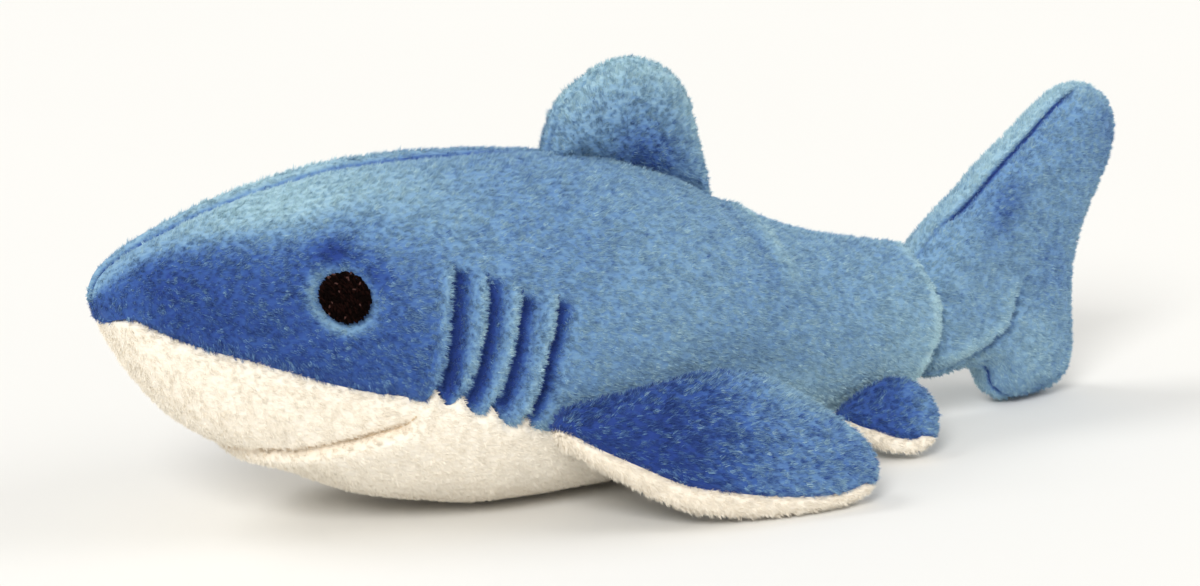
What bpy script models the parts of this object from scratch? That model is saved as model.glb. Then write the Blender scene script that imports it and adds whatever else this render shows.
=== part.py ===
"""A plush shark lying on its belly, about a third of a metre long, as the sewn panels, stuffing, fins and threads it is made of.

Metres, +Z up. The nose points to -X and the shark's left side is at -Y. The origin is on the flat of the belly that it rests on.
Every shape below is worked out in millimetres and scaled once, when its mesh is made.
"""
import bpy
import bmesh
import math

import numpy as np

# ---- driving dimensions, millimetres ----
X_TIP = -106.0          # nose tip
TAIL_AXIS = 104.0       # tail bend, x
CAUDAL_AXIS = 151.0     # tail fin bend, x
SPINE_BEND = 7.0        # how far the tail stock leans to the left (-y) at the fin

# stations along the body: x, top, bottom, half width, height of the widest point
STATIONS = (
    (-106.0, 66.0, 66.0, 0.0, 66.0),
    (-105.2, 70.2, 62.2, 4.0, 66.0),
    (-103.0, 73.8, 58.4, 7.8, 65.5),
    (-99.0, 76.9, 50.8, 12.0, 64.0),
    (-92.0, 80.4, 40.5, 16.8, 60.6),
    (-83.0, 83.9, 30.6, 21.8, 57.0),
    (-70.0, 88.1, 22.3, 27.8, 52.8),
    (-55.0, 91.7, 14.7, 33.5, 49.0),
    (-38.0, 94.2, 7.0, 38.5, 46.4),
    (-20.0, 95.1, 2.4, 42.0, 44.7),
    (0.0, 95.1, -1.0, 43.6, 43.5),
    (20.0, 94.0, -1.2, 43.3, 42.3),
    (40.0, 91.1, -1.2, 41.4, 41.0),
    (58.0, 86.0, -0.8, 38.2, 39.4),
    (76.0, 78.0, 0.4, 33.8, 37.8),
    (94.0, 68.6, 2.6, 28.6, 36.2),
    (110.0, 62.4, 5.2, 23.8, 35.5),
    (126.0, 58.5, 7.8, 19.5, 35.3),
    (142.0, 56.2, 10.6, 16.0, 35.6),
    (156.0, 54.8, 14.2, 13.4, 36.3),
    (170.0, 54.0, 19.0, 11.0, 37.5),
)
# the seam between the back and the belly: x, height
SEAM = ((-104.4, 59.6), (-102.8, 61.2), (-100.0, 61.9), (-97.0, 60.9), (-93.0, 58.8), (-84.5, 55.1), (-74.0, 51.6),
        (-62.0, 47.3), (-50.0, 43.2), (-41.0, 40.7), (-27.0, 38.6), (-17.0, 34.8), (-9.0, 31.2), (6.0, 25.0),
        (25.0, 19.6), (45.0, 16.0), (65.0, 13.2), (85.0, 11.2), (105.0, 10.2), (120.0, 10.2), (128.0, 9.6), (132.0, 9.2))
TOP_POWER, BOTTOM_POWER = 2.1, 2.5


def pchip(xs, ys):
    """A smooth curve through the points that never overshoots them."""
    xs, ys = np.asarray(xs, float), np.asarray(ys, float)
    h, d = np.diff(xs), np.diff(ys) / np.diff(xs)
    m = np.zeros(len(xs))
    same = d[:-1] * d[1:] > 0
    w1, w2 = 2 * h[1:] + h[:-1], h[1:] + 2 * h[:-1]
    safe = lambda a: np.where(a == 0, 1, a)
    m[1:-1] = np.where(same, (w1 + w2) / (w1 / safe(d[:-1]) + w2 / safe(d[1:])), 0)
    m[0], m[-1] = d[0], d[-1]

    def at(x):
        x = np.clip(np.asarray(x, float), xs[0], xs[-1])
        i = np.clip(np.searchsorted(xs, x) - 1, 0, len(xs) - 2)
        t = (x - xs[i]) / h[i]
        return (ys[i] * (1 + 2 * t) * (1 - t) ** 2 + m[i] * h[i] * t * (1 - t) ** 2
                + ys[i + 1] * t * t * (3 - 2 * t) + m[i + 1] * h[i] * t * t * (t - 1))
    return at


_s = np.array(STATIONS)
_q = np.sqrt(_s[:, 0] - X_TIP)
_top, _bot, _half, _mid = (pchip(_q, _s[:, k]) for k in (1, 2, 3, 4))
_seam = pchip([p[0] for p in SEAM], [p[1] for p in SEAM])


def spine(x):
    """The tail stock leans a little to one side."""
    t = np.clip((np.asarray(x, float) - 70) / 82, 0, None)
    return -SPINE_BEND * t * t


def body(x, phi):
    """A point of the body's surface: phi 0 is the back, pi the belly, and a positive phi the left side."""
    x, phi = np.broadcast_arrays(np.asarray(x, float), np.asarray(phi, float))
    q = np.sqrt(np.clip(x - X_TIP, 0, None))
    top, bot, half, mid = _top(q), _bot(q), _half(q), _mid(q)
    c, s = np.cos(phi), np.sin(phi)
    upper = c >= 0
    n = np.where(upper, TOP_POWER, BOTTOM_POWER)
    h = np.where(upper, top - mid, mid - bot)
    y = -half * np.sign(s) * np.abs(s) ** (2 / n)
    z = mid + h * np.sign(c) * np.abs(c) ** (2 / n)
    return np.stack([x, y + spine(x), z], -1)


def body_normal(x, phi, e=1e-3):
    x, phi = np.broadcast_arrays(np.asarray(x, float), np.asarray(phi, float))
    ex = 0.02
    xx = np.clip(x, X_TIP + ex * 1.5, None)
    dx = body(xx + ex, phi) - body(xx - ex, phi)
    # the section's own slope, kept off its four corners where the power curve has no slope
    p = phi
    dp = body(xx, p + 0.03) - body(xx, p - 0.03)
    n = np.cross(dp, dx)
    n /= np.linalg.norm(n, axis=-1, keepdims=True)
    near = np.clip(1 - (x - X_TIP) / 0.4, 0, 1)[..., None]
    n = n * (1 - near) + np.array([-1.0, 0, 0]) * near
    return n / np.linalg.norm(n, axis=-1, keepdims=True)


def seam_phi(x):
    """The angle of the back-to-belly seam at x."""
    x = np.asarray(x, float)
    q = np.sqrt(np.clip(x - X_TIP, 0, None))
    bot, mid = _bot(q), _mid(q)
    z = _seam(x)
    c = np.clip((mid - z) / (mid - bot), 0.0, 1)
    phi = np.pi - np.arccos(c ** (BOTTOM_POWER / 2))
    return np.where((x <= SEAM[0][0]) | (x >= SEAM[-1][0]), np.pi, phi)


# ---- fins: each is a soft lobe about a flat middle sheet, given by an outline in that sheet ----
def closed_curve(points, count):
    """A smooth closed curve through the points, as count points evenly along it."""
    p = np.asarray(points, float)
    n, fine = len(p), []
    for i in range(n):
        a, b, c, d = p[i - 1], p[i], p[(i + 1) % n], p[(i + 2) % n]
        t = np.linspace(0, 1, 24, endpoint=False)[:, None]
        fine.append(0.5 * (2 * b + (c - a) * t + (2 * a - 5 * b + 4 * c - d) * t**2 + (3 * b - a - 3 * c + d) * t**3))
    fine = np.concatenate(fine + [p[:1]])
    run = np.concatenate([[0], np.cumsum(np.linalg.norm(np.diff(fine, axis=0), axis=1))])
    at = np.linspace(0, run[-1], count, endpoint=False)
    return np.stack([np.interp(at, run, fine[:, k]) for k in (0, 1)], 1)


def inset(outline, by):
    """The outline moved inwards."""
    along = np.roll(outline, -1, 0) - np.roll(outline, 1, 0)
    along /= np.linalg.norm(along, axis=1, keepdims=True)
    area = np.sum(outline[:, 0] * np.roll(outline[:, 1], -1) - np.roll(outline[:, 0], -1) * outline[:, 1])
    inward = np.stack([-along[:, 1], along[:, 0]], 1) * np.sign(area)
    return outline + by * inward


def distance_to(outline, pts):
    a, b = outline, np.roll(outline, -1, 0)
    d = b - a
    t = np.clip(((pts[:, None] - a) * d).sum(-1) / (d * d).sum(-1), 0, 1)
    return np.linalg.norm(pts[:, None] - (a + t[..., None] * d), axis=-1).min(1)


def lobe(outline, centre, rings, edge, half, crown=0.3, limit=None, off=0.0):
    """Rings of points from the centre to the outline, with the half thickness at each."""
    centre = np.asarray(centre, float)
    flat = [centre[None]] + [centre + r * (outline - centre) for r in rings]
    thick = []
    for k, ring in enumerate(flat):
        d = distance_to(outline, ring) if k < len(flat) - 1 else np.zeros(len(ring))
        h = half * np.sqrt(np.clip(1 - (1 - np.clip(d / edge, 0, 1)) ** 2, 0, 1))
        far = np.clip(d / 18.0, 0, 1)
        h = h * (1 - crown + crown * far * (2 - far))
        if limit is not None:
            h = np.minimum(h, limit(ring, off))
        thick.append(h)
    return flat, thick


def unit(v):
    v = np.asarray(v, float)
    return v / np.linalg.norm(v)


class Sheet:
    """The middle sheet of a fin: an origin, a long direction and a second point that fixes its tilt."""

    def __init__(self, origin, along, up, camber=0.0):
        self.o = np.asarray(origin, float)
        self.e1 = unit(along)
        up = np.asarray(up, float)
        self.e2 = unit(up - self.e1 * (up @ self.e1))
        self.n = np.cross(self.e1, self.e2)
        self.camber = camber

    def at(self, pq, h):
        pq = np.asarray(pq, float)
        h = np.asarray(h, float) + self.camber * (pq[..., 0] / 50.0) ** 2
        return self.o + pq[..., :1] * self.e1 + pq[..., 1:2] * self.e2 + h[..., None] * self.n

    def mirrored(self, about):
        """The same sheet on the right side of the body."""
        m = Sheet.__new__(Sheet)
        f = np.array([1.0, -1.0, 1.0])
        m.o = self.o * f + np.array([0, 2 * about, 0])
        m.e1, m.e2, m.n, m.camber = self.e1 * f, self.e2 * f, self.n * f, self.camber
        return m


# dorsal fin, standing on the back, in the x-z plane
DORSAL_AXIS = ((28.0, 0.0, 98.6), (78.0, 0.0, 83.4))
DORSAL_TOP = ((28.2, 99.5), (31.0, 104.5), (36.5, 109.8), (43.5, 113.8), (51.5, 116.0), (59.0, 115.0), (66.0, 110.6), (71.5, 102.6),
              (75.8, 92.0), (78.4, 83.5))
DORSAL_CENTRE, DORSAL_HALF, DORSAL_EDGE = (54.0, 100.0), 8.0, 7.0
# tail fin: distance behind its bend, distance above its middle
CAUDAL_TURN, CAUDAL_LEAN, CAUDAL_MIDDLE = 13.0, 2.0, 36.0
CAUDAL_OUTLINE = ((-12.5, 0.0), (-11.5, 11.0), (-5.0, 17.8), (2.8, 24.2), (13.7, 32.8), (25.7, 41.0), (38.7, 48.4), (50.3, 55.3), (57.6, 58.4),
                  (66.5, 58.4), (74.5, 54.0), (78.0, 45.0), (76.5, 36.0), (69.5, 23.0), (64.0, 12.5), (62.0, 3.0), (62.5, -10.0),
                  (64.0, -22.0), (62.0, -30.0), (55.5, -34.8), (46.5, -35.5), (35.5, -35.2), (28.5, -31.5), (25.0, -25.5), (20.0, -22.5),
                  (12.0, -22.0), (1.0, -22.5), (-8.0, -17.5), (-11.5, -9.0))
CAUDAL_CENTRE, CAUDAL_HALF, CAUDAL_EDGE = (32.0, 4.0), 11.0, 10.0
# left pectoral fin
PECTORAL = Sheet((8.5, -48.0, 27.8), (94.0, -14.0, -14.5), (10.0, 17.0, 29.0))
PECTORAL_OUTLINE = ((-3.0, 1.0), (2.0, 6.5), (15.0, 11.0), (32.0, 16.5), (43.0, 19.0), (52.0, 19.5), (61.0, 16.5), (70.0, 12.0), (80.0, 6.5),
                    (87.0, 0.5), (89.5, -6.0), (86.0, -12.8), (76.0, -17.0), (62.0, -19.8), (48.0, -20.8), (35.0, -20.2), (24.0, -17.4),
                    (13.0, -12.8), (4.0, -7.6), (-2.0, -3.5))
PECTORAL_CENTRE, PECTORAL_HALF, PECTORAL_EDGE = (42.0, 0.0), 7.0, 6.5
PECTORAL_HINGE = ((2.0, 3.0), (48.0, 16.0))      # in the fin's own sheet, just inside its upper edge
# left pelvic fin
PELVIC = Sheet((112.0, -28.5, 11.8), (0.968, -0.25, -0.09), (0.23, 0.657, 0.718))
PELVIC_OUTLINE = ((-6.0, 1.0), (0.0, 4.0), (6.0, 8.0), (13.0, 10.8), (20.0, 10.8), (24.4, 6.5), (25.2, 0.0), (22.6, -7.0), (16.0, -10.5),
                  (8.0, -9.8), (1.0, -6.5), (-5.0, -3.0))
PELVIC_CENTRE, PELVIC_HALF, PELVIC_EDGE = (12.0, 0.5), 4.6, 4.4
PELVIC_HINGE = ((-1.0, 0.8), (17.0, 8.6))


def hinge_limit(line, start, slope, spread=0.0):
    """A fin is thin along the line that it is sewn on, and thickens away from it."""
    a, b = np.array(line[0], float), np.array(line[1], float)
    u = unit(b - a)
    v = np.array([-u[1], u[0]])

    def limit(pq, off):
        along, up = (pq - a) @ u, (pq - a) @ v
        r = start + spread * np.clip(along, 0, None) - off
        above = np.sqrt(np.clip(r * r - np.clip(up, 0, None) ** 2, 0, None))
        return np.where(up > 0, above, r - slope * up)
    return limit


def dorsal_limit(pq, off):
    """Below the line that the dorsal fin sways on, it is round about that line and clear of the back."""
    a, b = np.array(DORSAL_AXIS[0])[[0, 2]], np.array(DORSAL_AXIS[1])[[0, 2]]
    u = unit(b - a)
    v = np.array([-u[1], u[0]])
    along, up = (pq - a) @ u, (pq - a) @ v
    foot = a + along[:, None] * u
    back = _top(np.sqrt(np.clip(foot[:, 0] - X_TIP, 0, None)))
    r = np.clip((foot[:, 1] - back) * u[0] - 0.5 - off, 0.3, None)
    below = np.sqrt(np.clip(r * r - np.clip(-up, 0, None) ** 2, 0, None))
    return np.where(up < 0, below, r + 0.8 * up)


def dorsal_outline(count):
    xs = np.array([73.0, 64.0, 54.0, 44.0, 35.0])
    foot = [(x, float(_top(np.sqrt(x - X_TIP))) + 0.7) for x in xs]
    return closed_curve(list(DORSAL_TOP) + foot, count)


def caudal_sheet():
    t, r = math.radians(CAUDAL_TURN), math.radians(CAUDAL_LEAN)
    return Sheet((CAUDAL_AXIS, float(spine(CAUDAL_AXIS)), CAUDAL_MIDDLE), (math.cos(t), math.sin(t), 0), (0, -math.sin(r), math.cos(r)))


DORSAL = Sheet((0, 0, 0), (1, 0, 0), (0, 0, 1))


# ---- the making of meshes ----
MM = 0.001
SKIN, SEAM_GAP, CORE_GAP = 2.4, 0.24, 0.9       # cloth with its pile, half of each seam's gap, and the gap to the stuffing
FIN_SKIN = 1.9
TAIL_R, CAUDAL_R, DRUM_GAP = 28.6, 16.4, 0.9    # the round ends that let the tail and the tail fin turn


def clear():
    for obj in list(bpy.data.objects):
        bpy.data.objects.remove(obj, do_unlink=True)


def material(name, colour, rough):
    m = bpy.data.materials.new(name)
    m.use_nodes = True
    b = m.node_tree.nodes["Principled BSDF"]
    b.inputs["Base Color"].default_value = (*colour, 1)
    b.inputs["Roughness"].default_value = rough
    b.inputs["Metallic"].default_value = 0.0
    return m


BLUE, DEEP, CREAM = (0.10, 0.22, 0.40), (0.045, 0.12, 0.32), (0.86, 0.80, 0.68)
THREAD, FIBRE, TAN = (0.012, 0.006, 0.004), (0.85, 0.85, 0.84), (0.50, 0.36, 0.22)


def make(name, verts, faces, colour, pivot=(0, 0, 0), rough=0.9):
    """One closed body, facing out, with its origin at its pivot."""
    pivot = np.asarray(pivot, float)
    mesh = bpy.data.meshes.new(name)
    mesh.from_pydata([tuple((np.asarray(v) - pivot) * MM) for v in verts], [], faces)
    bm = bmesh.new()
    bm.from_mesh(mesh)
    bmesh.ops.remove_doubles(bm, verts=bm.verts, dist=1e-6)
    bmesh.ops.triangulate(bm, faces=bm.faces)
    bmesh.ops.recalc_face_normals(bm, faces=bm.faces)
    if bm.calc_volume(signed=True) < 0:
        bmesh.ops.reverse_faces(bm, faces=bm.faces)
    bm.to_mesh(mesh)
    bm.free()
    mesh.shade_smooth()
    mesh.set_sharp_from_angle(angle=math.radians(50))
    obj = bpy.data.objects.new(name, mesh)
    bpy.context.collection.objects.link(obj)
    obj.location = tuple(pivot * MM)
    mesh.materials.append(material(name, colour, rough))
    return obj


class Net:
    """Points and faces being gathered into one body."""

    def __init__(self):
        self.verts, self.faces = [], []

    def add(self, pts):
        start = len(self.verts)
        self.verts += [np.asarray(p, float) for p in pts]
        return list(range(start, len(self.verts)))

    def strip(self, a, b, loop=False):
        n = len(a)
        for j in range(n if loop else n - 1):
            k = (j + 1) % n
            self.faces.append((a[j], a[k], b[k], b[j]))

    def fan(self, c, ring, loop=True):
        n = len(ring)
        for j in range(n if loop else n - 1):
            self.faces.append((c, ring[j], ring[(j + 1) % n]))


def sheet_body(outer, inner):
    """A thick sheet: an outer and an inner grid of points joined along their four edges."""
    net = Net()
    o = [net.add(row) for row in outer]
    i = [net.add(row) for row in inner]
    for a, b in zip(o[:-1], o[1:]):
        net.strip(a, b)
    for a, b in zip(i[:-1], i[1:]):
        net.strip(b, a)
    net.strip(o[0], i[0])
    net.strip(i[-1], o[-1])
    net.strip([r[0] for r in i], [r[0] for r in o])
    net.strip([r[-1] for r in o], [r[-1] for r in i])
    return net.verts, net.faces


def drum_x(phi_of, axis, radius, low, high):
    """Where the body's surface meets the upright cylinder about a bend, for one line that runs along the body."""
    cy = float(spine(axis))
    a, b = low, high
    f = lambda x: (x - axis) ** 2 + (float(body(x, phi_of(x))[1]) - cy) ** 2 - radius**2
    for _ in range(40):
        m = 0.5 * (a + b)
        if f(m) > 0:
            a = m
        else:
            b = m
    return 0.5 * (a + b)


def on_drum(p, axis, radius):
    """The point moved along the body onto the cylinder."""
    p = np.array(p, float)
    dy = p[1] - float(spine(axis))
    p[0] = axis - math.sqrt(max(radius**2 - dy * dy, 0.0))
    return p


def back_phi(part):
    """The lines of a back panel, from the top seam down to the belly seam."""
    def at(x):
        edge = float(np.minimum(seam_phi(x), seam_phi(x + 0.35)))
        q = math.sqrt(max(x - X_TIP, 1e-6))
        return (edge - min(0.55 / max(float(_mid(q) - _bot(q)), 2.0), 0.12)) * part
    return at


def belly_phi(part):
    """The lines of the belly panel, from the left seam round to the right one, as part goes from -1 to 1."""
    def at(x):
        edge = float(np.maximum(seam_phi(x), seam_phi(x - 0.35)))
        q = math.sqrt(max(x - X_TIP, 1e-6))
        edge = min(edge + min(0.55 / max(float(_mid(q) - _bot(q)), 2.0), 0.12), math.pi)
        return math.pi + (math.pi - edge) * part
    return at


def offset(x, phi, by, floor=True):
    p = body(x, phi) - by * body_normal(x, phi)
    if floor and by == 0:
        p[..., 2] = np.maximum(p[..., 2], 0.0)
    return p


def column(phi_of, start, end, steps, power, skin, head, tail):
    """Outer and inner points of one line along the body. head and tail are (axis, radius) where it starts or ends on a bend."""
    x0 = start if head is None else drum_x(phi_of, head[0], head[1], head[0] - head[1] - 1.5, head[0])
    x1 = end if tail is None else drum_x(phi_of, tail[0], tail[1], tail[0] - tail[1] - 1.5, tail[0])
    outer, inner = [], []
    for k in range(steps + 1):
        x = x0 + (x1 - x0) * (k / steps) ** power
        phi = phi_of(x)
        outer.append(offset(x, phi, 0.0))
        inner.append(offset(x, phi, skin))
    if head is not None:
        outer[0], inner[0] = on_drum(outer[0], *head), on_drum(inner[0], *head)
    if tail is not None:
        outer[-1], inner[-1] = on_drum(outer[-1], *tail), on_drum(inner[-1], *tail)
    return outer, inner


def back_panel(name, side, start, steps, power, head, tail, colour, pivot, around=8):
    outer, inner = [], []
    for j in range(around + 1):
        phi_of = lambda x, at=back_phi(j / around): -side * at(x)
        o, i = column(phi_of, start, None, steps, power, SKIN, head, tail)
        outer.append(o)
        inner.append(i)
    outer, inner = np.array(outer), np.array(inner)
    for g in (outer, inner):
        mid = spine(g[..., 0])
        g[..., 1] = mid + side * np.maximum(side * (g[..., 1] - mid), SEAM_GAP)      # kept to its own side of the centre seam
        if head is not None:
            g[:, 0] = [on_drum(p, *head) for p in g[:, 0]]
        if tail is not None:
            g[:, -1] = [on_drum(p, *tail) for p in g[:, -1]]
    return make(name, *sheet_body(outer, inner), colour, pivot)


def belly_sheet(name, start, end, steps, power, head, tail, colour, pivot, around=8):
    outer, inner = [], []
    for j in range(-around, around + 1):
        o, i = column(belly_phi(j / around), start, end, steps, power, SKIN, head, tail)
        outer.append(o)
        inner.append(i)
    return make(name, *sheet_body(np.array(outer), np.array(inner)), colour, pivot)


def stuffing(name, start, steps, power, head, tail, colour, pivot, around=18):
    """The filling: a loft inside the panels, closed by a nose or by the round face of a bend at each end."""
    by = SKIN + CORE_GAP
    rings = []
    cols = []
    for j in range(around):
        phi = 2 * math.pi * j / around
        f = lambda x, p=phi: p
        x0 = start if head is None else drum_x(f, head[0], head[1], head[0] - head[1] - 1.5, head[0])
        x1 = drum_x(f, tail[0], tail[1], tail[0] - tail[1] - 1.5, tail[0])
        xs = [x0 + (x1 - x0) * (k / steps) ** power for k in range(steps + 1)]
        cols.append([offset(x, phi, by) for x in xs])
    net = Net()
    grid = np.array(cols).transpose(1, 0, 2)
    if head is not None:
        grid[0] = [on_drum(p, *head) for p in grid[0]]
    grid[-1] = [on_drum(p, *tail) for p in grid[-1]]
    rings = [net.add(r) for r in grid]
    for a, b in zip(rings[:-1], rings[1:]):
        net.strip(a, b, True)
    for ring, pts, drum in ((rings[0], grid[0], head), (rings[-1], grid[-1], tail)):
        centre = pts.mean(0)
        if drum is None:
            net.fan(net.add([centre - np.array([0.4, 0, 0])])[0], ring)
            continue
        last = ring
        for r in (0.7, 0.35):
            new = net.add([on_drum(centre + r * (p - centre), *drum) for p in pts])
            net.strip(last, new, True)
            last = new
        net.fan(net.add([on_drum(centre, *drum)])[0], last)
    return make(name, net.verts, net.faces, colour, pivot, 1.0)


def fin(prefix, sheet, outline, centre, edge, half, limit, names, colours, pivot, gap=0.16, rings=(0.35, 0.62, 0.82, 0.94, 1.0), crown=0.3):
    """A fin's two panels, which meet at its edge, and the filling between them."""
    for side, name, colour in ((1, names[0], colours[0]), (-1, names[1], colours[1])):
        net = Net()
        of, ot = lobe(outline, centre, rings, edge, half, crown, limit, 0.0)
        inner_line = inset(outline, FIN_SKIN)
        nf, nt = lobe(inner_line, centre, rings, edge - FIN_SKIN, half - FIN_SKIN, crown, limit, FIN_SKIN)
        last = []
        for flat, thick in ((of, ot), (nf, nt)):
            c = net.add(sheet.at(flat[0], side * (thick[0] + gap)))[0]
            ids = [net.add(sheet.at(f, side * (np.maximum(h, 0) + gap))) for f, h in zip(flat[1:], thick[1:])]
            net.fan(c, ids[0])
            for a, b in zip(ids[:-1], ids[1:]):
                net.strip(a, b, True)
            last.append(ids[-1])
        net.strip(last[0], last[1], True)
        make(name, net.verts, net.faces, colour, pivot)
    by = FIN_SKIN + 0.8
    core = inset(outline, by)
    flat, thick = lobe(core, centre, rings, edge - by, half - by, crown, limit, by)
    net = Net()
    ends = []
    for side in (1, -1):
        c = net.add(sheet.at(flat[0], side * np.maximum(thick[0], 0.25)))[0]
        ids = [net.add(sheet.at(f, side * np.maximum(h, 0.25))) for f, h in zip(flat[1:-1], thick[1:-1])]
        net.fan(c, ids[0])
        for a, b in zip(ids[:-1], ids[1:]):
            net.strip(a, b, True)
        ends.append(ids[-1])
    rim = net.add(sheet.at(flat[-1], 0 * thick[-1]))
    net.strip(ends[0], rim, True)
    net.strip(ends[1], rim, True)
    make(names[2], net.verts, net.faces, FIBRE, pivot, 1.0)


def surface_path(points, count, lift, side=-1):
    """A smooth line on the body's surface through the given places (x, angle), lifted off it."""
    p = np.array(points, float)
    run = np.arange(len(p))
    at = np.linspace(0, len(p) - 1, count)
    fx, fp = pchip(run, p[:, 0]), pchip(run, p[:, 1])
    x, phi = fx(at), fp(at)
    out = body(x, phi) + lift * body_normal(x, phi)
    if side > 0:
        out[:, 1] = 2 * spine(x) - out[:, 1]
    return out


def thread(name, pts, radius, colour, pivot, sides=6):
    net = Net()
    along = np.gradient(pts, axis=0)
    along /= np.linalg.norm(along, axis=1, keepdims=True)
    ref = np.array([0.0, 0.0, 1.0]) if abs(along[0][2]) < 0.8 else np.array([1.0, 0.0, 0.0])
    rings = []
    for p, t in zip(pts, along):
        u = unit(ref - t * (ref @ t))
        v = np.cross(t, u)
        ref = u
        rings.append(net.add([p + radius * (math.cos(a) * u + math.sin(a) * v) for a in np.linspace(0, 2 * math.pi, sides, endpoint=False)]))
    for a, b in zip(rings[:-1], rings[1:]):
        net.strip(a, b, True)
    for ring, p in ((rings[0], pts[0]), (rings[-1], pts[-1])):
        net.faces.append(tuple(ring))
    return make(name, net.verts, net.faces, colour, pivot, 0.6)


def eye(name, side):
    """An embroidered disc that follows the cheek."""
    x0, phi0 = EYE_AT
    q = math.sqrt(x0 - X_TIP)
    per = np.linalg.norm(body(x0, phi0 + 0.01) - body(x0, phi0 - 0.01)) / 0.02
    net = Net()
    tops, foots = [], []
    spots = [(0.0, 0.0)]
    for r, count in ((0.5, 16), (1.0, 16)):
        spots += [(r * EYE_R * math.cos(2 * math.pi * k / count), r * EYE_R * math.sin(2 * math.pi * k / count)) for k in range(count)]
    dx = body(x0 + 0.1, phi0) - body(x0 - 0.1, phi0)
    stretch = np.linalg.norm(dx) / 0.2
    layers = []
    for lift, shrink in ((0.35, 1.0), (1.5, 0.93)):
        pts = []
        for k, (a, b) in enumerate(spots):
            x, phi = x0 + shrink * a / stretch, phi0 + shrink * b / per
            up = lift + (0.25 if lift > 1 and k < 17 else 0.0)
            p = body(x, phi) + up * body_normal(x, phi)
            if side > 0:
                p[1] = 2 * spine(x) - p[1]
            pts.append(p)
        ids = net.add(pts)
        layers.append(ids)
        net.fan(ids[0], ids[1:17])
        net.strip(ids[1:17], ids[17:33], True)
    net.strip(layers[0][17:33], layers[1][17:33], True)
    return make(name, net.verts, net.faces, THREAD, (0, 0, 0), 0.5)


# places on the head: along the body, and the angle down from the back
EYE_AT, EYE_R = (-48.9, 1.149), 6.7
GILLS = (((-18.5, 0.989), (-20.9, 1.181), (-23.5, 1.457), (-26.0, 1.60)),
         ((-9.7, 1.053), (-12.1, 1.310), (-15.4, 1.525), (-19.0, 1.64)),
         ((-0.7, 1.159), (-3.1, 1.321), (-5.6, 1.511), (-10.5, 1.675)),
         ((10.1, 1.195), (6.9, 1.400), (3.8, 1.563), (-1.3, 1.755)))
MOUTH = ((-32.0, 1.790), (-35.0, 1.880), (-41.2, 1.960), (-50.2, 2.143), (-58.5, 2.385), (-65.0, 2.60), (-69.0, 2.90), (-70.0, 3.1416))

clear()
bend = ("bend", TAIL_AXIS)
tail_pivot = (TAIL_AXIS, float(spine(TAIL_AXIS)), 33.0)
caudal_pivot = (CAUDAL_AXIS, float(spine(CAUDAL_AXIS)), CAUDAL_MIDDLE)
front_end, rear_start = (TAIL_AXIS, TAIL_R), (TAIL_AXIS, TAIL_R - DRUM_GAP)
rear_end = (CAUDAL_AXIS, CAUDAL_R)

# body: two back panels, the belly, and the filling
back_panel("body_panel_left", -1, X_TIP + 0.25, 20, 1.5, None, front_end, BLUE, (0, 0, 0))
back_panel("body_panel_right", 1, X_TIP + 0.25, 20, 1.5, None, front_end, BLUE, (0, 0, 0))
belly_sheet("belly_panel", SEAM[0][0] + 0.9, None, 20, 1.4, None, front_end, CREAM, (0, 0, 0))
stuffing("body_stuffing", X_TIP + SKIN + CORE_GAP, 16, 1.5, None, front_end, FIBRE, (0, 0, 0))
# tail stock
back_panel("tail_panel_left", -1, None, 8, 1.0, rear_start, rear_end, BLUE, tail_pivot)
back_panel("tail_panel_right", 1, None, 8, 1.0, rear_start, rear_end, BLUE, tail_pivot)
belly_sheet("tail_belly_panel", None, 130.5, 8, 1.0, rear_start, None, CREAM, tail_pivot, 5)
stuffing("tail_stuffing", None, 8, 1.0, rear_start, rear_end, FIBRE, tail_pivot, 16)

# fins
fin("caudal", caudal_sheet(), closed_curve(CAUDAL_OUTLINE, 30), CAUDAL_CENTRE, CAUDAL_EDGE, CAUDAL_HALF, None,
    ("caudal_panel_left", "caudal_panel_right", "caudal_stuffing"), (BLUE, BLUE), caudal_pivot)
a, b = (np.array(p) for p in DORSAL_AXIS)
fin("dorsal", DORSAL, dorsal_outline(24), DORSAL_CENTRE, DORSAL_EDGE, DORSAL_HALF, dorsal_limit,
    ("dorsal_panel_left", "dorsal_panel_right", "dorsal_stuffing"), (DEEP, DEEP), (a + b) / 2)
pectoral_limit = hinge_limit(PECTORAL_HINGE, 3.0, 0.6, 0.03)
pelvic_limit = hinge_limit(PELVIC_HINGE, 2.2, 0.6, 0.03)
for word, sheet in (("left", PECTORAL), ("right", PECTORAL.mirrored(0.0))):
    pivot = sheet.at(np.array(PECTORAL_HINGE).mean(0)[None], np.zeros(1))[0]
    fin("pectoral", sheet, closed_curve(PECTORAL_OUTLINE, 24), PECTORAL_CENTRE, PECTORAL_EDGE, PECTORAL_HALF, pectoral_limit,
        ("pectoral_%s_top" % word, "pectoral_%s_under" % word, "pectoral_%s_stuffing" % word), (DEEP, CREAM), pivot)
PELVIC_MIRROR = float(spine(120.0))
for word, sheet in (("left", PELVIC), ("right", PELVIC.mirrored(PELVIC_MIRROR))):
    pivot = sheet.at(np.array(PELVIC_HINGE).mean(0)[None], np.zeros(1))[0]
    fin("pelvic", sheet, closed_curve(PELVIC_OUTLINE, 16), PELVIC_CENTRE, PELVIC_EDGE, PELVIC_HALF, pelvic_limit,
        ("pelvic_%s_top" % word, "pelvic_%s_under" % word, "pelvic_%s_stuffing" % word), (DEEP, CREAM), pivot, 0.16, (0.4, 0.72, 0.92, 1.0))

# embroidery and threads
for word, side in (("left", -1), ("right", 1)):
    eye("eye_%s" % word, side)
    for k, places in enumerate(GILLS):
        thread("gill_stitch_%s_%d" % (word, k + 1), surface_path(places, 8, 0.8, side), 0.4, DEEP, (0, 0, 0))
left = surface_path(MOUTH, 12, 0.8, -1)
right = left[:-1][::-1] * np.array([1, -1, 1])
thread("mouth_stitch", np.concatenate([left, right]), 0.4, TAN, (0, 0, 0))
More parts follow.
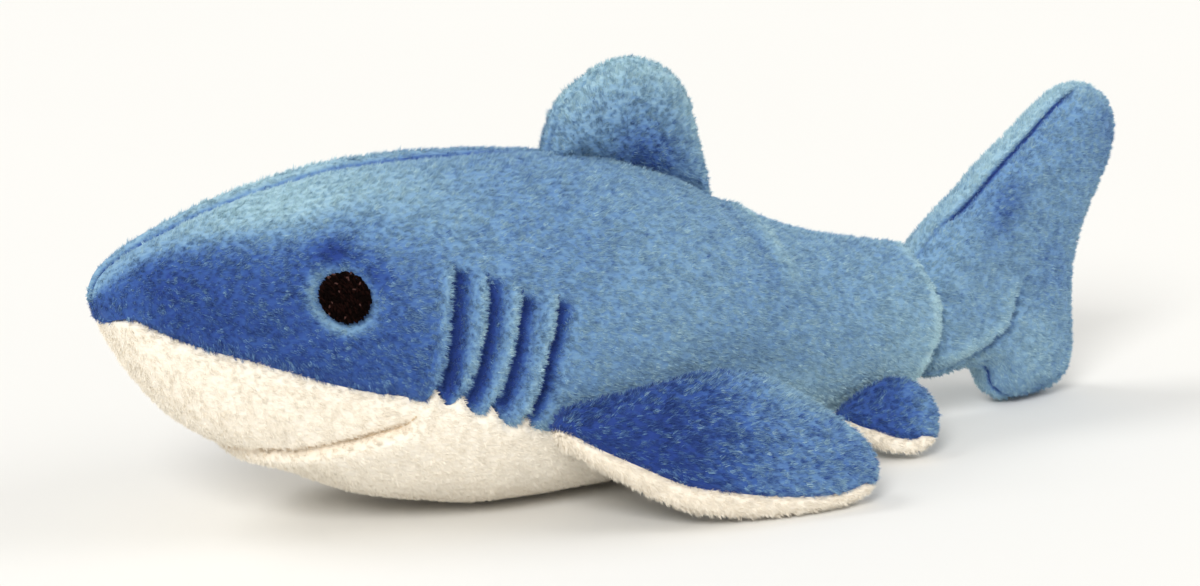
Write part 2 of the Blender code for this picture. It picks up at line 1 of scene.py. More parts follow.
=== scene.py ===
"""The looks of the plush shark: pile cloth over soft filling, sewn seams, pleated gills, a tucked mouth and embroidered eyes.

Millimetres while shapes are worked out, metres in the scene. The nose points to -X, +Z is up, and the shark's left side is at -Y.
"""
import bpy
import bmesh
import math

import numpy as np
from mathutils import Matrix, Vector


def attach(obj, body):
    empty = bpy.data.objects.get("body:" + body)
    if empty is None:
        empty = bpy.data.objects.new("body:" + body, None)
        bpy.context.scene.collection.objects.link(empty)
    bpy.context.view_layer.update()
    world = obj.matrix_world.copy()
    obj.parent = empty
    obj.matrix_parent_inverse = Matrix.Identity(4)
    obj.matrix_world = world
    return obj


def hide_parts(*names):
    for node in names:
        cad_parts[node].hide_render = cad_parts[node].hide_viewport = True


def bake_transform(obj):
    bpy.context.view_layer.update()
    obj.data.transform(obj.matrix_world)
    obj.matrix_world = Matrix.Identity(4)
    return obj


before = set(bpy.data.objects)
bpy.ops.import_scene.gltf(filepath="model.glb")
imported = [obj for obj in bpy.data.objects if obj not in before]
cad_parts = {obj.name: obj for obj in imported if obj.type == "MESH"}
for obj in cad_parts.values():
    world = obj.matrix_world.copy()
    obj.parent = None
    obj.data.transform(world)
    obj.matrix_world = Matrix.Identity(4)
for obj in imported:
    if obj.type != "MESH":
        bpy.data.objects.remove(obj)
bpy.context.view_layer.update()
MM = 0.001

WORLD_STRENGTH, KEY, SIDE, BACK = 0.53, 2.05, 0.62, 0.8       # light

# ---- driving dimensions, millimetres ----
X_TIP = -106.0          # nose tip
TAIL_AXIS = 104.0       # tail bend, x
CAUDAL_AXIS = 151.0     # tail fin bend, x
SPINE_BEND = 7.0        # how far the tail stock leans to the left (-y) at the fin

# stations along the body: x, top, bottom, half width, height of the widest point
STATIONS = (
    (-106.0, 66.0, 66.0, 0.0, 66.0),
    (-105.2, 70.2, 62.2, 4.0, 66.0),
    (-103.0, 73.8, 58.4, 7.8, 65.5),
    (-99.0, 76.9, 50.8, 12.0, 64.0),
    (-92.0, 80.4, 40.5, 16.8, 60.6),
    (-83.0, 83.9, 30.6, 21.8, 57.0),
    (-70.0, 88.1, 22.3, 27.8, 52.8),
    (-55.0, 91.7, 14.7, 33.5, 49.0),
    (-38.0, 94.2, 7.0, 38.5, 46.4),
    (-20.0, 95.1, 2.4, 42.0, 44.7),
    (0.0, 95.1, -1.0, 43.6, 43.5),
    (20.0, 94.0, -1.2, 43.3, 42.3),
    (40.0, 91.1, -1.2, 41.4, 41.0),
    (58.0, 86.0, -0.8, 38.2, 39.4),
    (76.0, 78.0, 0.4, 33.8, 37.8),
    (94.0, 68.6, 2.6, 28.6, 36.2),
    (110.0, 62.4, 5.2, 23.8, 35.5),
    (126.0, 58.5, 7.8, 19.5, 35.3),
    (142.0, 56.2, 10.6, 16.0, 35.6),
    (156.0, 54.8, 14.2, 13.4, 36.3),
    (170.0, 54.0, 19.0, 11.0, 37.5),
)
# the seam between the back and the belly: x, height
SEAM = ((-104.4, 59.6), (-102.8, 61.2), (-100.0, 61.9), (-97.0, 60.9), (-93.0, 58.8), (-84.5, 55.1), (-74.0, 51.6),
        (-62.0, 47.3), (-50.0, 43.2), (-41.0, 40.7), (-27.0, 38.6), (-17.0, 34.8), (-9.0, 31.2), (6.0, 25.0),
        (25.0, 19.6), (45.0, 16.0), (65.0, 13.2), (85.0, 11.2), (105.0, 10.2), (120.0, 10.2), (128.0, 9.6), (132.0, 9.2))
TOP_POWER, BOTTOM_POWER = 2.1, 2.5


def pchip(xs, ys):
    """A smooth curve through the points that never overshoots them."""
    xs, ys = np.asarray(xs, float), np.asarray(ys, float)
    h, d = np.diff(xs), np.diff(ys) / np.diff(xs)
    m = np.zeros(len(xs))
    same = d[:-1] * d[1:] > 0
    w1, w2 = 2 * h[1:] + h[:-1], h[1:] + 2 * h[:-1]
    safe = lambda a: np.where(a == 0, 1, a)
    m[1:-1] = np.where(same, (w1 + w2) / (w1 / safe(d[:-1]) + w2 / safe(d[1:])), 0)
    m[0], m[-1] = d[0], d[-1]

    def at(x):
        x = np.clip(np.asarray(x, float), xs[0], xs[-1])
        i = np.clip(np.searchsorted(xs, x) - 1, 0, len(xs) - 2)
        t = (x - xs[i]) / h[i]
        return (ys[i] * (1 + 2 * t) * (1 - t) ** 2 + m[i] * h[i] * t * (1 - t) ** 2
                + ys[i + 1] * t * t * (3 - 2 * t) + m[i + 1] * h[i] * t * t * (t - 1))
    return at


_s = np.array(STATIONS)
_q = np.sqrt(_s[:, 0] - X_TIP)
_top, _bot, _half, _mid = (pchip(_q, _s[:, k]) for k in (1, 2, 3, 4))
_seam = pchip([p[0] for p in SEAM], [p[1] for p in SEAM])


def spine(x):
    """The tail stock leans a little to one side."""
    t = np.clip((np.asarray(x, float) - 70) / 82, 0, None)
    return -SPINE_BEND * t * t


def body(x, phi):
    """A point of the body's surface: phi 0 is the back, pi the belly, and a positive phi the left side."""
    x, phi = np.broadcast_arrays(np.asarray(x, float), np.asarray(phi, float))
    q = np.sqrt(np.clip(x - X_TIP, 0, None))
    top, bot, half, mid = _top(q), _bot(q), _half(q), _mid(q)
    c, s = np.cos(phi), np.sin(phi)
    upper = c >= 0
    n = np.where(upper, TOP_POWER, BOTTOM_POWER)
    h = np.where(upper, top - mid, mid - bot)
    y = -half * np.sign(s) * np.abs(s) ** (2 / n)
    z = mid + h * np.sign(c) * np.abs(c) ** (2 / n)
    return np.stack([x, y + spine(x), z], -1)


def body_normal(x, phi, e=1e-3):
    x, phi = np.broadcast_arrays(np.asarray(x, float), np.asarray(phi, float))
    ex = 0.02
    xx = np.clip(x, X_TIP + ex * 1.5, None)
    dx = body(xx + ex, phi) - body(xx - ex, phi)
    # the section's own slope, kept off its four corners where the power curve has no slope
    p = phi
    dp = body(xx, p + 0.03) - body(xx, p - 0.03)
    n = np.cross(dp, dx)
    n /= np.linalg.norm(n, axis=-1, keepdims=True)
    near = np.clip(1 - (x - X_TIP) / 0.4, 0, 1)[..., None]
    n = n * (1 - near) + np.array([-1.0, 0, 0]) * near
    return n / np.linalg.norm(n, axis=-1, keepdims=True)


def seam_phi(x):
    """The angle of the back-to-belly seam at x."""
    x = np.asarray(x, float)
    q = np.sqrt(np.clip(x - X_TIP, 0, None))
    bot, mid = _bot(q), _mid(q)
    z = _seam(x)
    c = np.clip((mid - z) / (mid - bot), 0.0, 1)
    phi = np.pi - np.arccos(c ** (BOTTOM_POWER / 2))
    return np.where((x <= SEAM[0][0]) | (x >= SEAM[-1][0]), np.pi, phi)


# ---- fins: each is a soft lobe about a flat middle sheet, given by an outline in that sheet ----
def closed_curve(points, count):
    """A smooth closed curve through the points, as count points evenly along it."""
    p = np.asarray(points, float)
    n, fine = len(p), []
    for i in range(n):
        a, b, c, d = p[i - 1], p[i], p[(i + 1) % n], p[(i + 2) % n]
        t = np.linspace(0, 1, 24, endpoint=False)[:, None]
        fine.append(0.5 * (2 * b + (c - a) * t + (2 * a - 5 * b + 4 * c - d) * t**2 + (3 * b - a - 3 * c + d) * t**3))
    fine = np.concatenate(fine + [p[:1]])
    run = np.concatenate([[0], np.cumsum(np.linalg.norm(np.diff(fine, axis=0), axis=1))])
    at = np.linspace(0, run[-1], count, endpoint=False)
    return np.stack([np.interp(at, run, fine[:, k]) for k in (0, 1)], 1)


def inset(outline, by):
    """The outline moved inwards."""
    along = np.roll(outline, -1, 0) - np.roll(outline, 1, 0)
    along /= np.linalg.norm(along, axis=1, keepdims=True)
    area = np.sum(outline[:, 0] * np.roll(outline[:, 1], -1) - np.roll(outline[:, 0], -1) * outline[:, 1])
    inward = np.stack([-along[:, 1], along[:, 0]], 1) * np.sign(area)
    return outline + by * inward


def distance_to(outline, pts):
    a, b = outline, np.roll(outline, -1, 0)
    d = b - a
    t = np.clip(((pts[:, None] - a) * d).sum(-1) / (d * d).sum(-1), 0, 1)
    return np.linalg.norm(pts[:, None] - (a + t[..., None] * d), axis=-1).min(1)


def lobe(outline, centre, rings, edge, half, crown=0.3, limit=None, off=0.0):
    """Rings of points from the centre to the outline, with the half thickness at each."""
    centre = np.asarray(centre, float)
    flat = [centre[None]] + [centre + r * (outline - centre) for r in rings]
    thick = []
    for k, ring in enumerate(flat):
        d = distance_to(outline, ring) if k < len(flat) - 1 else np.zeros(len(ring))
        h = half * np.sqrt(np.clip(1 - (1 - np.clip(d / edge, 0, 1)) ** 2, 0, 1))
        far = np.clip(d / 18.0, 0, 1)
        h = h * (1 - crown + crown * far * (2 - far))
        if limit is not None:
            h = np.minimum(h, limit(ring, off))
        thick.append(h)
    return flat, thick


def unit(v):
    v = np.asarray(v, float)
    return v / np.linalg.norm(v)


class Sheet:
    """The middle sheet of a fin: an origin, a long direction and a second point that fixes its tilt."""

    def __init__(self, origin, along, up, camber=0.0):
        self.o = np.asarray(origin, float)
        self.e1 = unit(along)
        up = np.asarray(up, float)
        self.e2 = unit(up - self.e1 * (up @ self.e1))
        self.n = np.cross(self.e1, self.e2)
        self.camber = camber

    def at(self, pq, h):
        pq = np.asarray(pq, float)
        h = np.asarray(h, float) + self.camber * (pq[..., 0] / 50.0) ** 2
        return self.o + pq[..., :1] * self.e1 + pq[..., 1:2] * self.e2 + h[..., None] * self.n

    def mirrored(self, about):
        """The same sheet on the right side of the body."""
        m = Sheet.__new__(Sheet)
        f = np.array([1.0, -1.0, 1.0])
        m.o = self.o * f + np.array([0, 2 * about, 0])
        m.e1, m.e2, m.n, m.camber = self.e1 * f, self.e2 * f, self.n * f, self.camber
        return m


# dorsal fin, standing on the back, in the x-z plane
DORSAL_AXIS = ((28.0, 0.0, 98.6), (78.0, 0.0, 83.4))
DORSAL_TOP = ((28.2, 99.5), (31.0, 104.5), (36.5, 109.8), (43.5, 113.8), (51.5, 116.0), (59.0, 115.0), (66.0, 110.6), (71.5, 102.6),
              (75.8, 92.0), (78.4, 83.5))
DORSAL_CENTRE, DORSAL_HALF, DORSAL_EDGE = (54.0, 100.0), 8.0, 7.0
# tail fin: distance behind its bend, distance above its middle
CAUDAL_TURN, CAUDAL_LEAN, CAUDAL_MIDDLE = 13.0, 2.0, 36.0
CAUDAL_OUTLINE = ((-12.5, 0.0), (-11.5, 11.0), (-5.0, 17.8), (2.8, 24.2), (13.7, 32.8), (25.7, 41.0), (38.7, 48.4), (50.3, 55.3), (57.6, 58.4),
                  (66.5, 58.4), (74.5, 54.0), (78.0, 45.0), (76.5, 36.0), (69.5, 23.0), (64.0, 12.5), (62.0, 3.0), (62.5, -10.0),
                  (64.0, -22.0), (62.0, -30.0), (55.5, -34.8), (46.5, -35.5), (35.5, -35.2), (28.5, -31.5), (25.0, -25.5), (20.0, -22.5),
                  (12.0, -22.0), (1.0, -22.5), (-8.0, -17.5), (-11.5, -9.0))
CAUDAL_CENTRE, CAUDAL_HALF, CAUDAL_EDGE = (32.0, 4.0), 11.0, 10.0
# left pectoral fin
PECTORAL = Sheet((8.5, -48.0, 27.8), (94.0, -14.0, -14.5), (10.0, 17.0, 29.0))
PECTORAL_OUTLINE = ((-3.0, 1.0), (2.0, 6.5), (15.0, 11.0), (32.0, 16.5), (43.0, 19.0), (52.0, 19.5), (61.0, 16.5), (70.0, 12.0), (80.0, 6.5),
                    (87.0, 0.5), (89.5, -6.0), (86.0, -12.8), (76.0, -17.0), (62.0, -19.8), (48.0, -20.8), (35.0, -20.2), (24.0, -17.4),
                    (13.0, -12.8), (4.0, -7.6), (-2.0, -3.5))
PECTORAL_CENTRE, PECTORAL_HALF, PECTORAL_EDGE = (42.0, 0.0), 7.0, 6.5
PECTORAL_HINGE = ((2.0, 3.0), (48.0, 16.0))      # in the fin's own sheet, just inside its upper edge
# left pelvic fin
PELVIC = Sheet((112.0, -28.5, 11.8), (0.968, -0.25, -0.09), (0.23, 0.657, 0.718))
PELVIC_OUTLINE = ((-6.0, 1.0), (0.0, 4.0), (6.0, 8.0), (13.0, 10.8), (20.0, 10.8), (24.4, 6.5), (25.2, 0.0), (22.6, -7.0), (16.0, -10.5),
                  (8.0, -9.8), (1.0, -6.5), (-5.0, -3.0))
PELVIC_CENTRE, PELVIC_HALF, PELVIC_EDGE = (12.0, 0.5), 4.6, 4.4
PELVIC_HINGE = ((-1.0, 0.8), (17.0, 8.6))


def hinge_limit(line, start, slope, spread=0.0):
    """A fin is thin along the line that it is sewn on, and thickens away from it."""
    a, b = np.array(line[0], float), np.array(line[1], float)
    u = unit(b - a)
    v = np.array([-u[1], u[0]])

    def limit(pq, off):
        along, up = (pq - a) @ u, (pq - a) @ v
        r = start + spread * np.clip(along, 0, None) - off
        above = np.sqrt(np.clip(r * r - np.clip(up, 0, None) ** 2, 0, None))
        return np.where(up > 0, above, r - slope * up)
    return limit


def dorsal_limit(pq, off):
    """Below the line that the dorsal fin sways on, it is round about that line and clear of the back."""
    a, b = np.array(DORSAL_AXIS[0])[[0, 2]], np.array(DORSAL_AXIS[1])[[0, 2]]
    u = unit(b - a)
    v = np.array([-u[1], u[0]])
    along, up = (pq - a) @ u, (pq - a) @ v
    foot = a + along[:, None] * u
    back = _top(np.sqrt(np.clip(foot[:, 0] - X_TIP, 0, None)))
    r = np.clip((foot[:, 1] - back) * u[0] - 0.5 - off, 0.3, None)
    below = np.sqrt(np.clip(r * r - np.clip(-up, 0, None) ** 2, 0, None))
    return np.where(up < 0, below, r + 0.8 * up)


def dorsal_outline(count):
    xs = np.array([73.0, 64.0, 54.0, 44.0, 35.0])
    foot = [(x, float(_top(np.sqrt(x - X_TIP))) + 0.7) for x in xs]
    return closed_curve(list(DORSAL_TOP) + foot, count)


def caudal_sheet():
    t, r = math.radians(CAUDAL_TURN), math.radians(CAUDAL_LEAN)
    return Sheet((CAUDAL_AXIS, float(spine(CAUDAL_AXIS)), CAUDAL_MIDDLE), (math.cos(t), math.sin(t), 0), (0, -math.sin(r), math.cos(r)))


DORSAL = Sheet((0, 0, 0), (1, 0, 0), (0, 0, 1))

# ---- places on the head, as in the solids: along the body, and the angle down from the back ----
EYE_AT, EYE_R = (-48.9, 1.149), 6.7
GILLS = (((-18.5, 0.989), (-20.9, 1.181), (-23.5, 1.457), (-26.6, 1.643)),
         ((-9.7, 1.053), (-12.1, 1.310), (-15.4, 1.525), (-19.6, 1.678)),
         ((-0.7, 1.159), (-3.1, 1.321), (-5.6, 1.511), (-10.9, 1.705)),
         ((10.1, 1.195), (6.9, 1.400), (3.8, 1.563), (-1.5, 1.780)))
MOUTH = ((-32.0, 1.775), (-35.0, 1.870), (-41.2, 1.955), (-50.2, 2.143), (-58.5, 2.385), (-65.0, 2.60), (-69.0, 2.90), (-70.0, 3.1416))
SPLIT = 127.0           # where the back's cloth is carried on by the tail stock's own cloth
INSET = 1.1             # the woven backing lies this far inside the pile's middle
ARC = 40.0              # millimetres of arc for one radian round the body


# ---- soft noise, the same in every run ----
def hash3(i, seed):
    h = (i[..., 0] * 374761393 + i[..., 1] * 668265263 + i[..., 2] * 2147483647 + seed * 974634777) & 0xFFFFFFFF
    h = ((h ^ (h >> 13)) * 1274126177) & 0xFFFFFFFF
    return ((h ^ (h >> 16)) & 0xFFFF) / 65535.0


def noise(p, scale, seed=0):
    """Smooth noise from -1 to 1, with lumps about scale millimetres across."""
    q = np.asarray(p, float) / scale
    i = np.floor(q).astype(np.int64)
    f = q - i
    f = f * f * (3 - 2 * f)
    out = np.zeros(q.shape[:-1])
    for dx in (0, 1):
        for dy in (0, 1):
            for dz in (0, 1):
                w = (f[..., 0] if dx else 1 - f[..., 0]) * (f[..., 1] if dy else 1 - f[..., 1]) * (f[..., 2] if dz else 1 - f[..., 2])
                out += w * hash3(i + np.array([dx, dy, dz]), seed)
    return out * 2 - 1


def bell(d, width):
    return np.exp(-(d / width) ** 2)


def step(a, b, t):
    t = np.clip((t - a) / (b - a), 0, 1)
    return t * t * (3 - 2 * t)


# ---- what the sewing does to the surface ----
def smooth_path(points, count=48):
    p = np.array(points, float)
    run = np.arange(len(p))
    at = np.linspace(0, len(p) - 1, count)
    return np.stack([pchip(run, p[:, k])(at) for k in (0, 1)], 1)


def beside(x, phi, path):
    """For each place: the signed distance from the path, in millimetres, and how far along it from 0 to 1."""
    line = smooth_path(path)
    a = np.stack([line[:-1, 0], line[:-1, 1] * ARC], 1)
    b = np.stack([line[1:, 0], line[1:, 1] * ARC], 1)
    p = np.stack([x, np.abs(phi) * ARC], -1).reshape(-1, 2)
    best, sign, along = np.full(len(p), 1e9), np.ones(len(p)), np.zeros(len(p))
    for k in range(len(a)):
        d = b[k] - a[k]
        t = np.clip(((p - a[k]) @ d) / (d @ d), 0, 1)
        off = p - (a[k] + t[:, None] * d)
        r = np.hypot(off[:, 0], off[:, 1])
        near = r < best
        best = np.where(near, r, best)
        side = d[0] * off[:, 1] - d[1] * off[:, 0]
        sign = np.where(near, np.where(side > 0, 1.0, -1.0), sign)
        along = np.where(near, (k + t) / len(a), along)
    return (best * sign).reshape(x.shape), along.reshape(x.shape)


def gill_shape(x, phi):
    """The four sewn pleats on each side: a sharp groove with a rolled rib on its front side. Returns (height,
    darkness), the darkness being painted shade in each groove and, below zero, a painted highlight along the rib.
    """
    h, dark = np.zeros(x.shape), np.zeros(x.shape)
    for k, path in enumerate(GILLS):
        d, t = beside(x, phi, path)
        # the path runs down the flank, so its front side is at positive distance
        fade = step(0.0, 0.10, t) * (1 - 0.55 * step(0.93, 1.0, t))
        inside = bell(np.clip(np.abs(d) - 7, 0, None), 3.0)
        # it drops sharply behind the rib and comes up slowly again
        groove = np.where(d > -0.8, bell(d + 0.8, 1.1), bell(np.clip(-0.8 - d - 1.3, 0, None), 2.2))
        rib = bell(d - 2.3, 1.7)
        h += fade * inside * (1.9 * rib - 3.0 * groove)
        # painted shade down each groove, less a painted highlight on the rib in front of it
        dark += fade * (np.where(d > -1.0, bell(d + 1.0, 1.1), bell(np.clip(-1.0 - d - 1.3, 0, None), 1.7)) - 0.55 * bell(d - 1.7, 1.3))
    return h, np.clip(dark, -0.7, 1)


def mouth_shape(x, phi):
    d, t = beside(x, phi, MOUTH)
    fade = step(0.0, 0.16, t)
    # the lip above the tuck stands over the jaw below it
    above = -d
    groove = bell(above - 0.0, 1.5)
    lip = step(-0.5, 1.5, above) * bell(np.clip(above - 1.5, 0, None), 9.0)
    # the second value darkens the cloth along the tuck: partly the mouth's tan airbrushing, partly painted shade in the
    # tuck
    return fade * (1.7 * lip - 1.9 * groove), fade * bell(above + 0.6, 1.7)


def eye_distance(x, phi):
    x0, phi0 = EYE_AT
    per = np.linalg.norm(body(x0, phi0 + 0.01) - body(x0, phi0 - 0.01)) / 0.02
    stretch = np.linalg.norm(body(x0 + 0.1, phi0) - body(x0 - 0.1, phi0)) / 0.2
    return (x - x0) * stretch, (np.abs(phi) - phi0) * per


def eye_painted_light(x, phi):
    """The pile is combed flat round the embroidery; the ring round it gets a painted highlight, stronger on its lower
    front side, and the hollow above and behind it gets painted shade.
    """
    a, b = eye_distance(x, phi)
    r = np.hypot(a, b)
    light = bell(r - 8.5, 1.9) * (0.32 + 0.18 * np.clip((0.6 * b - a) / 8.0, -1, 1))
    deep = 0.30 * bell(np.hypot(a - 8.5, b + 4.5) , 4.2) + 0.34 * bell(np.hypot(a + 0.5, b + 12.5), 4.6)
    return light - deep * step(7.2, 10.0, r)


def lumps(p):
    return 0.45 * noise(p, 26.0, 3) + 0.25 * noise(p, 11.0, 5)


def edge_phi(x):
    """The sewn edge between the blue and the cream: it draws up a little at the foot of each pleat."""
    x = np.asarray(x, float)
    out = seam_phi(x)
    for at in (-27.0, -20.0, -11.2, -1.8):
        out = out - 0.055 * bell(x - at, 1.5) + 0.03 * bell(x - at + 4.2, 2.4)
    return np.where(out > np.pi, np.pi, out)


def fold_x(phi):
    """The soft fold over the back where the body narrows towards the tail."""
    return 87.0 + 9.5 * np.clip(np.abs(phi) - 0.4, 0, None)


def back_point(x, phi):
    """The woven backing of the blue cloth."""
    p, n = body(x, phi), body_normal(x, phi)
    edge = (edge_phi(x) - np.abs(phi)) * ARC
    top = np.abs(phi) * ARC
    h = -INSET + lumps(p)
    h -= 1.5 * bell(np.clip(edge, 0, None), 1.5)
    h += 0.5 * bell(edge - 4.0, 3.0) * step(SEAM[-1][0], SEAM[-1][0] - 20, x)
    near = step(24, -20, x)
    far_side = np.where(phi < 0, 1.0, 0.0)
    h -= (0.5 + 0.25 * near) * bell(top, 1.2) - (0.1 + 1.2 * near * far_side) * bell(top - 5.0, 3.2)
    g, dark = gill_shape(x, phi)
    h += g
    a, b = eye_distance(x, phi)
    r = np.hypot(a, b)
    h += -1.5 * bell(np.clip(r - 3.0, 0, None), 4.6) + 0.5 * bell(r - 11.5, 3.0)
    # the soft fold across the flank where the body narrows to the tail
    f1 = x - fold_x(phi)
    h += (1.2 * bell(f1, 3.2) - 0.6 * bell(f1 + 7.0, 4.0)) * step(-0.10, 0.1, phi) * step(1.25, 0.85, phi)
    return p + h[..., None] * n, n, dark


def belly_point(x, phi):
    p, n = body(x, phi), body_normal(x, phi)
    edge = (np.where(phi > np.pi, 2 * np.pi - phi, phi) - edge_phi(x)) * ARC
    folded = np.where(phi > np.pi, 2 * np.pi - phi, phi)
    h = -INSET + 0.6 * lumps(p)
    h -= 1.3 * bell(np.clip(edge, 0, None), 1.4)
    m, dark = mouth_shape(x, folded)
    h += m
    q = p + h[..., None] * n
    # flat where it rests, with the pile pressed under it
    q[..., 2] = np.maximum(q[..., 2], 0.9 + 0.1 * noise(p, 6.0, 9))
    return q, n, dark


# ---- meshes ----
def new_object(name, verts, faces, materials, index=None, smooth=True, floats=()):
    """A mesh from millimetre points and quads or triangles, all of one size."""
    verts, faces = np.asarray(verts, float).reshape(-1, 3), np.asarray(faces, np.int32)
    k = faces.shape[1]
    mesh = bpy.data.meshes.new(name)
    mesh.vertices.add(len(verts))
    mesh.vertices.foreach_set("co", (verts * MM).astype(np.float32).ravel())
    mesh.loops.add(faces.size)
    mesh.loops.foreach_set("vertex_index", faces.ravel())
    mesh.polygons.add(len(faces))
    mesh.polygons.foreach_set("loop_start", np.arange(len(faces), dtype=np.int32) * k)
    for m in materials:
        mesh.materials.append(m)
    if index is not None:
        mesh.polygons.foreach_set("material_index", np.asarray(index, np.int32))
    mesh.polygons.foreach_set("use_smooth", np.full(len(faces), smooth))
    mesh.update(calc_edges=True)
    mesh.validate()
    for label, values in floats:
        mesh.attributes.new(label, "FLOAT", "POINT").data.foreach_set("value", np.asarray(values, np.float32).ravel())
    obj = bpy.data.objects.new(name, mesh)
    bpy.context.collection.objects.link(obj)
    return obj


def grid_faces(rows, cols, loop=False, start=0, flip=False):
    i, j = np.meshgrid(np.arange(rows - 1), np.arange(cols if loop else cols - 1), indexing="ij")
    k = (j + 1) % cols
    f = np.stack([i * cols + j, (i + 1) * cols + j, (i + 1) * cols + k, i * cols + k], -1).reshape(-1, 4) + start
    return f[:, ::-1] if flip else f


def outward(verts, faces, normals):
    """The faces, turned so that most of them face the way the normals do."""
    a, b, c = (verts[faces[:, k]] for k in range(3))
    s = (np.cross(b - a, c - a) * normals[faces[:, 0]]).sum()
    return faces[:, ::-1] if s < 0 else faces


def vertex_normals(verts, faces):
    a, b, c, d = (verts[faces[:, k]] for k in (0, 1, 2, -1))
    n = np.cross(c - a, d - b)
    out = np.zeros_like(verts)
    for k in range(faces.shape[1]):
        np.add.at(out, faces[:, k], n)
    return out / np.maximum(np.linalg.norm(out, axis=1, keepdims=True), 1e-12)


# ---- materials ----
def srgb(r, g, b):
    return tuple(((c / 255) / 12.92 if c / 255 <= 0.04045 else ((c / 255 + 0.055) / 1.055) ** 2.4) for c in (r, g, b))


# how the blue runs from its deepest to its lightest, and the cream from its most shaded to its lightest
BLUE = ((0.0, (0.018, 0.048, 0.230)), (0.25, (0.044, 0.112, 0.340)), (0.5, (0.145, 0.280, 0.480)), (0.75, (0.270, 0.435, 0.555)),
        (1.0, (0.460, 0.650, 0.700)))
CREAM = ((0.0, (0.620, 0.470, 0.320)), (0.35, (0.820, 0.700, 0.550)), (0.7, (0.900, 0.830, 0.715)), (1.0, (0.950, 0.905, 0.815)))
FIBRE = ((0.0, (0.60, 0.60, 0.60)), (1.0, (0.9, 0.9, 0.9)))
DARK = ((0.0, (0.006, 0.003, 0.002)), (0.6, (0.020, 0.009, 0.006)), (1.0, (0.11, 0.03, 0.015)))


def mix_of(table, s):
    xs = [t for t, _ in table]
    return tuple(float(np.interp(s, xs, [c[k] for _, c in table])) for k in range(3))


SHADES = 12


def principled(name, rough, sheen=0.0, tint=(1, 1, 1), sheen_rough=0.4, spec=0.25):
    m = bpy.data.materials.new(name)
    m.use_nodes = True
    b = m.node_tree.nodes["Principled BSDF"]
    b.inputs["Roughness"].default_value = rough
    b.inputs["Metallic"].default_value = 0.0
    b.inputs["Specular IOR Level"].default_value = spec
    b.inputs["Sheen Weight"].default_value = sheen
    b.inputs["Sheen Roughness"].default_value = sheen_rough
    b.inputs["Sheen Tint"].default_value = (*tint, 1)
    return m, b


def pile_materials(name, table, sheen, tint):
    """One fibre colour for each shade, from the deepest to the lightest."""
    out = []
    for k in range(SHADES):
        m, b = principled("%s_fibre_%02d" % (name, k + 1), 0.78, sheen, tint, 0.35, 0.3)
        b.inputs["Base Color"].default_value = (*mix_of(table, (k + 0.5) / SHADES), 1)
        out.append(m)
    return out


def cloth_material(name, table, sheen, tint, scale=1.0):
    """The woven backing with the roots of the pile: its shade comes from the piece, broken up by fibres."""
    m, b = principled(name, 0.95, sheen, tint)
    t = m.node_tree
    n, l = t.nodes, t.links
    shade = n.new("ShaderNodeAttribute")
    shade.attribute_name = "shade"
    tc = n.new("ShaderNodeTexCoord")
    mp = n.new("ShaderNodeMapping")
    mp.inputs["Scale"].default_value = (420 * scale, 1100 * scale, 1100 * scale)
    fib = n.new("ShaderNodeTexNoise")
    fib.inputs["Scale"].default_value = 1.0
    fib.inputs["Detail"].default_value = 4.0
    tuft = n.new("ShaderNodeTexVoronoi")
    tuft.inputs["Scale"].default_value = 620 * scale
    mul = n.new("ShaderNodeMath")
    mul.operation = "MULTIPLY_ADD"
    mul.inputs[1].default_value = 0.45
    add = n.new("ShaderNodeMath")
    add.operation = "ADD"
    ramp = n.new("ShaderNodeValToRGB")
    while len(ramp.color_ramp.elements) > 1:
        ramp.color_ramp.elements.remove(ramp.color_ramp.elements[-1])
    for k, (pos, col) in enumerate(table):
        e = ramp.color_ramp.elements[0] if k == 0 else ramp.color_ramp.elements.new(pos)
        e.position = pos
        e.color = (*col, 1)
    l.new(tc.outputs["Object"], mp.inputs["Vector"])
    l.new(mp.outputs["Vector"], fib.inputs["Vector"])
    l.new(tc.outputs["Object"], tuft.inputs["Vector"])
    l.new(fib.outputs["Fac"], mul.inputs[0])
    mul.inputs[2].default_value = -0.225
    l.new(mul.outputs[0], add.inputs[0])
    l.new(shade.outputs["Fac"], add.inputs[1])
    l.new(add.outputs[0], ramp.inputs["Fac"])
    l.new(ramp.outputs["Color"], b.inputs["Base Color"])
    rough = n.new("ShaderNodeMapRange")
    rough.inputs["To Min"].default_value = 0.82
    rough.inputs["To Max"].default_value = 1.0
    l.new(fib.outputs["Fac"], rough.inputs["Value"])
    l.new(rough.outputs["Result"], b.inputs["Roughness"])
    both = n.new("ShaderNodeMath")
    both.operation = "MULTIPLY_ADD"
    both.inputs[1].default_value = 0.6
    l.new(tuft.outputs["Distance"], both.inputs[0])
    l.new(fib.outputs["Fac"], both.inputs[2])
    bump = n.new("ShaderNodeBump")
    bump.inputs["Strength"].default_value = 0.7
    bump.inputs["Distance"].default_value = 0.0006
    l.new(both.outputs[0], bump.inputs["Height"])
    l.new(bump.outputs["Normal"], b.inputs["Normal"])
    return m


BLUE_TINT, CREAM_TINT = (0.62, 0.82, 1.0), (1.0, 0.97, 0.9)
blue_pile = pile_materials("blue_plush", BLUE, 0.35, BLUE_TINT)
cream_pile = pile_materials("cream_plush", CREAM, 0.25, CREAM_TINT)
blue_cloth = cloth_material("blue_plush_backing", BLUE, 0.2, BLUE_TINT)
cream_cloth = cloth_material("cream_plush_backing", CREAM, 0.2, CREAM_TINT)
fibre_fill = cloth_material("fibre_filling", FIBRE, 0.2, (1, 1, 1), 0.3)


# ---- the pile ----
DENSE = 1.0


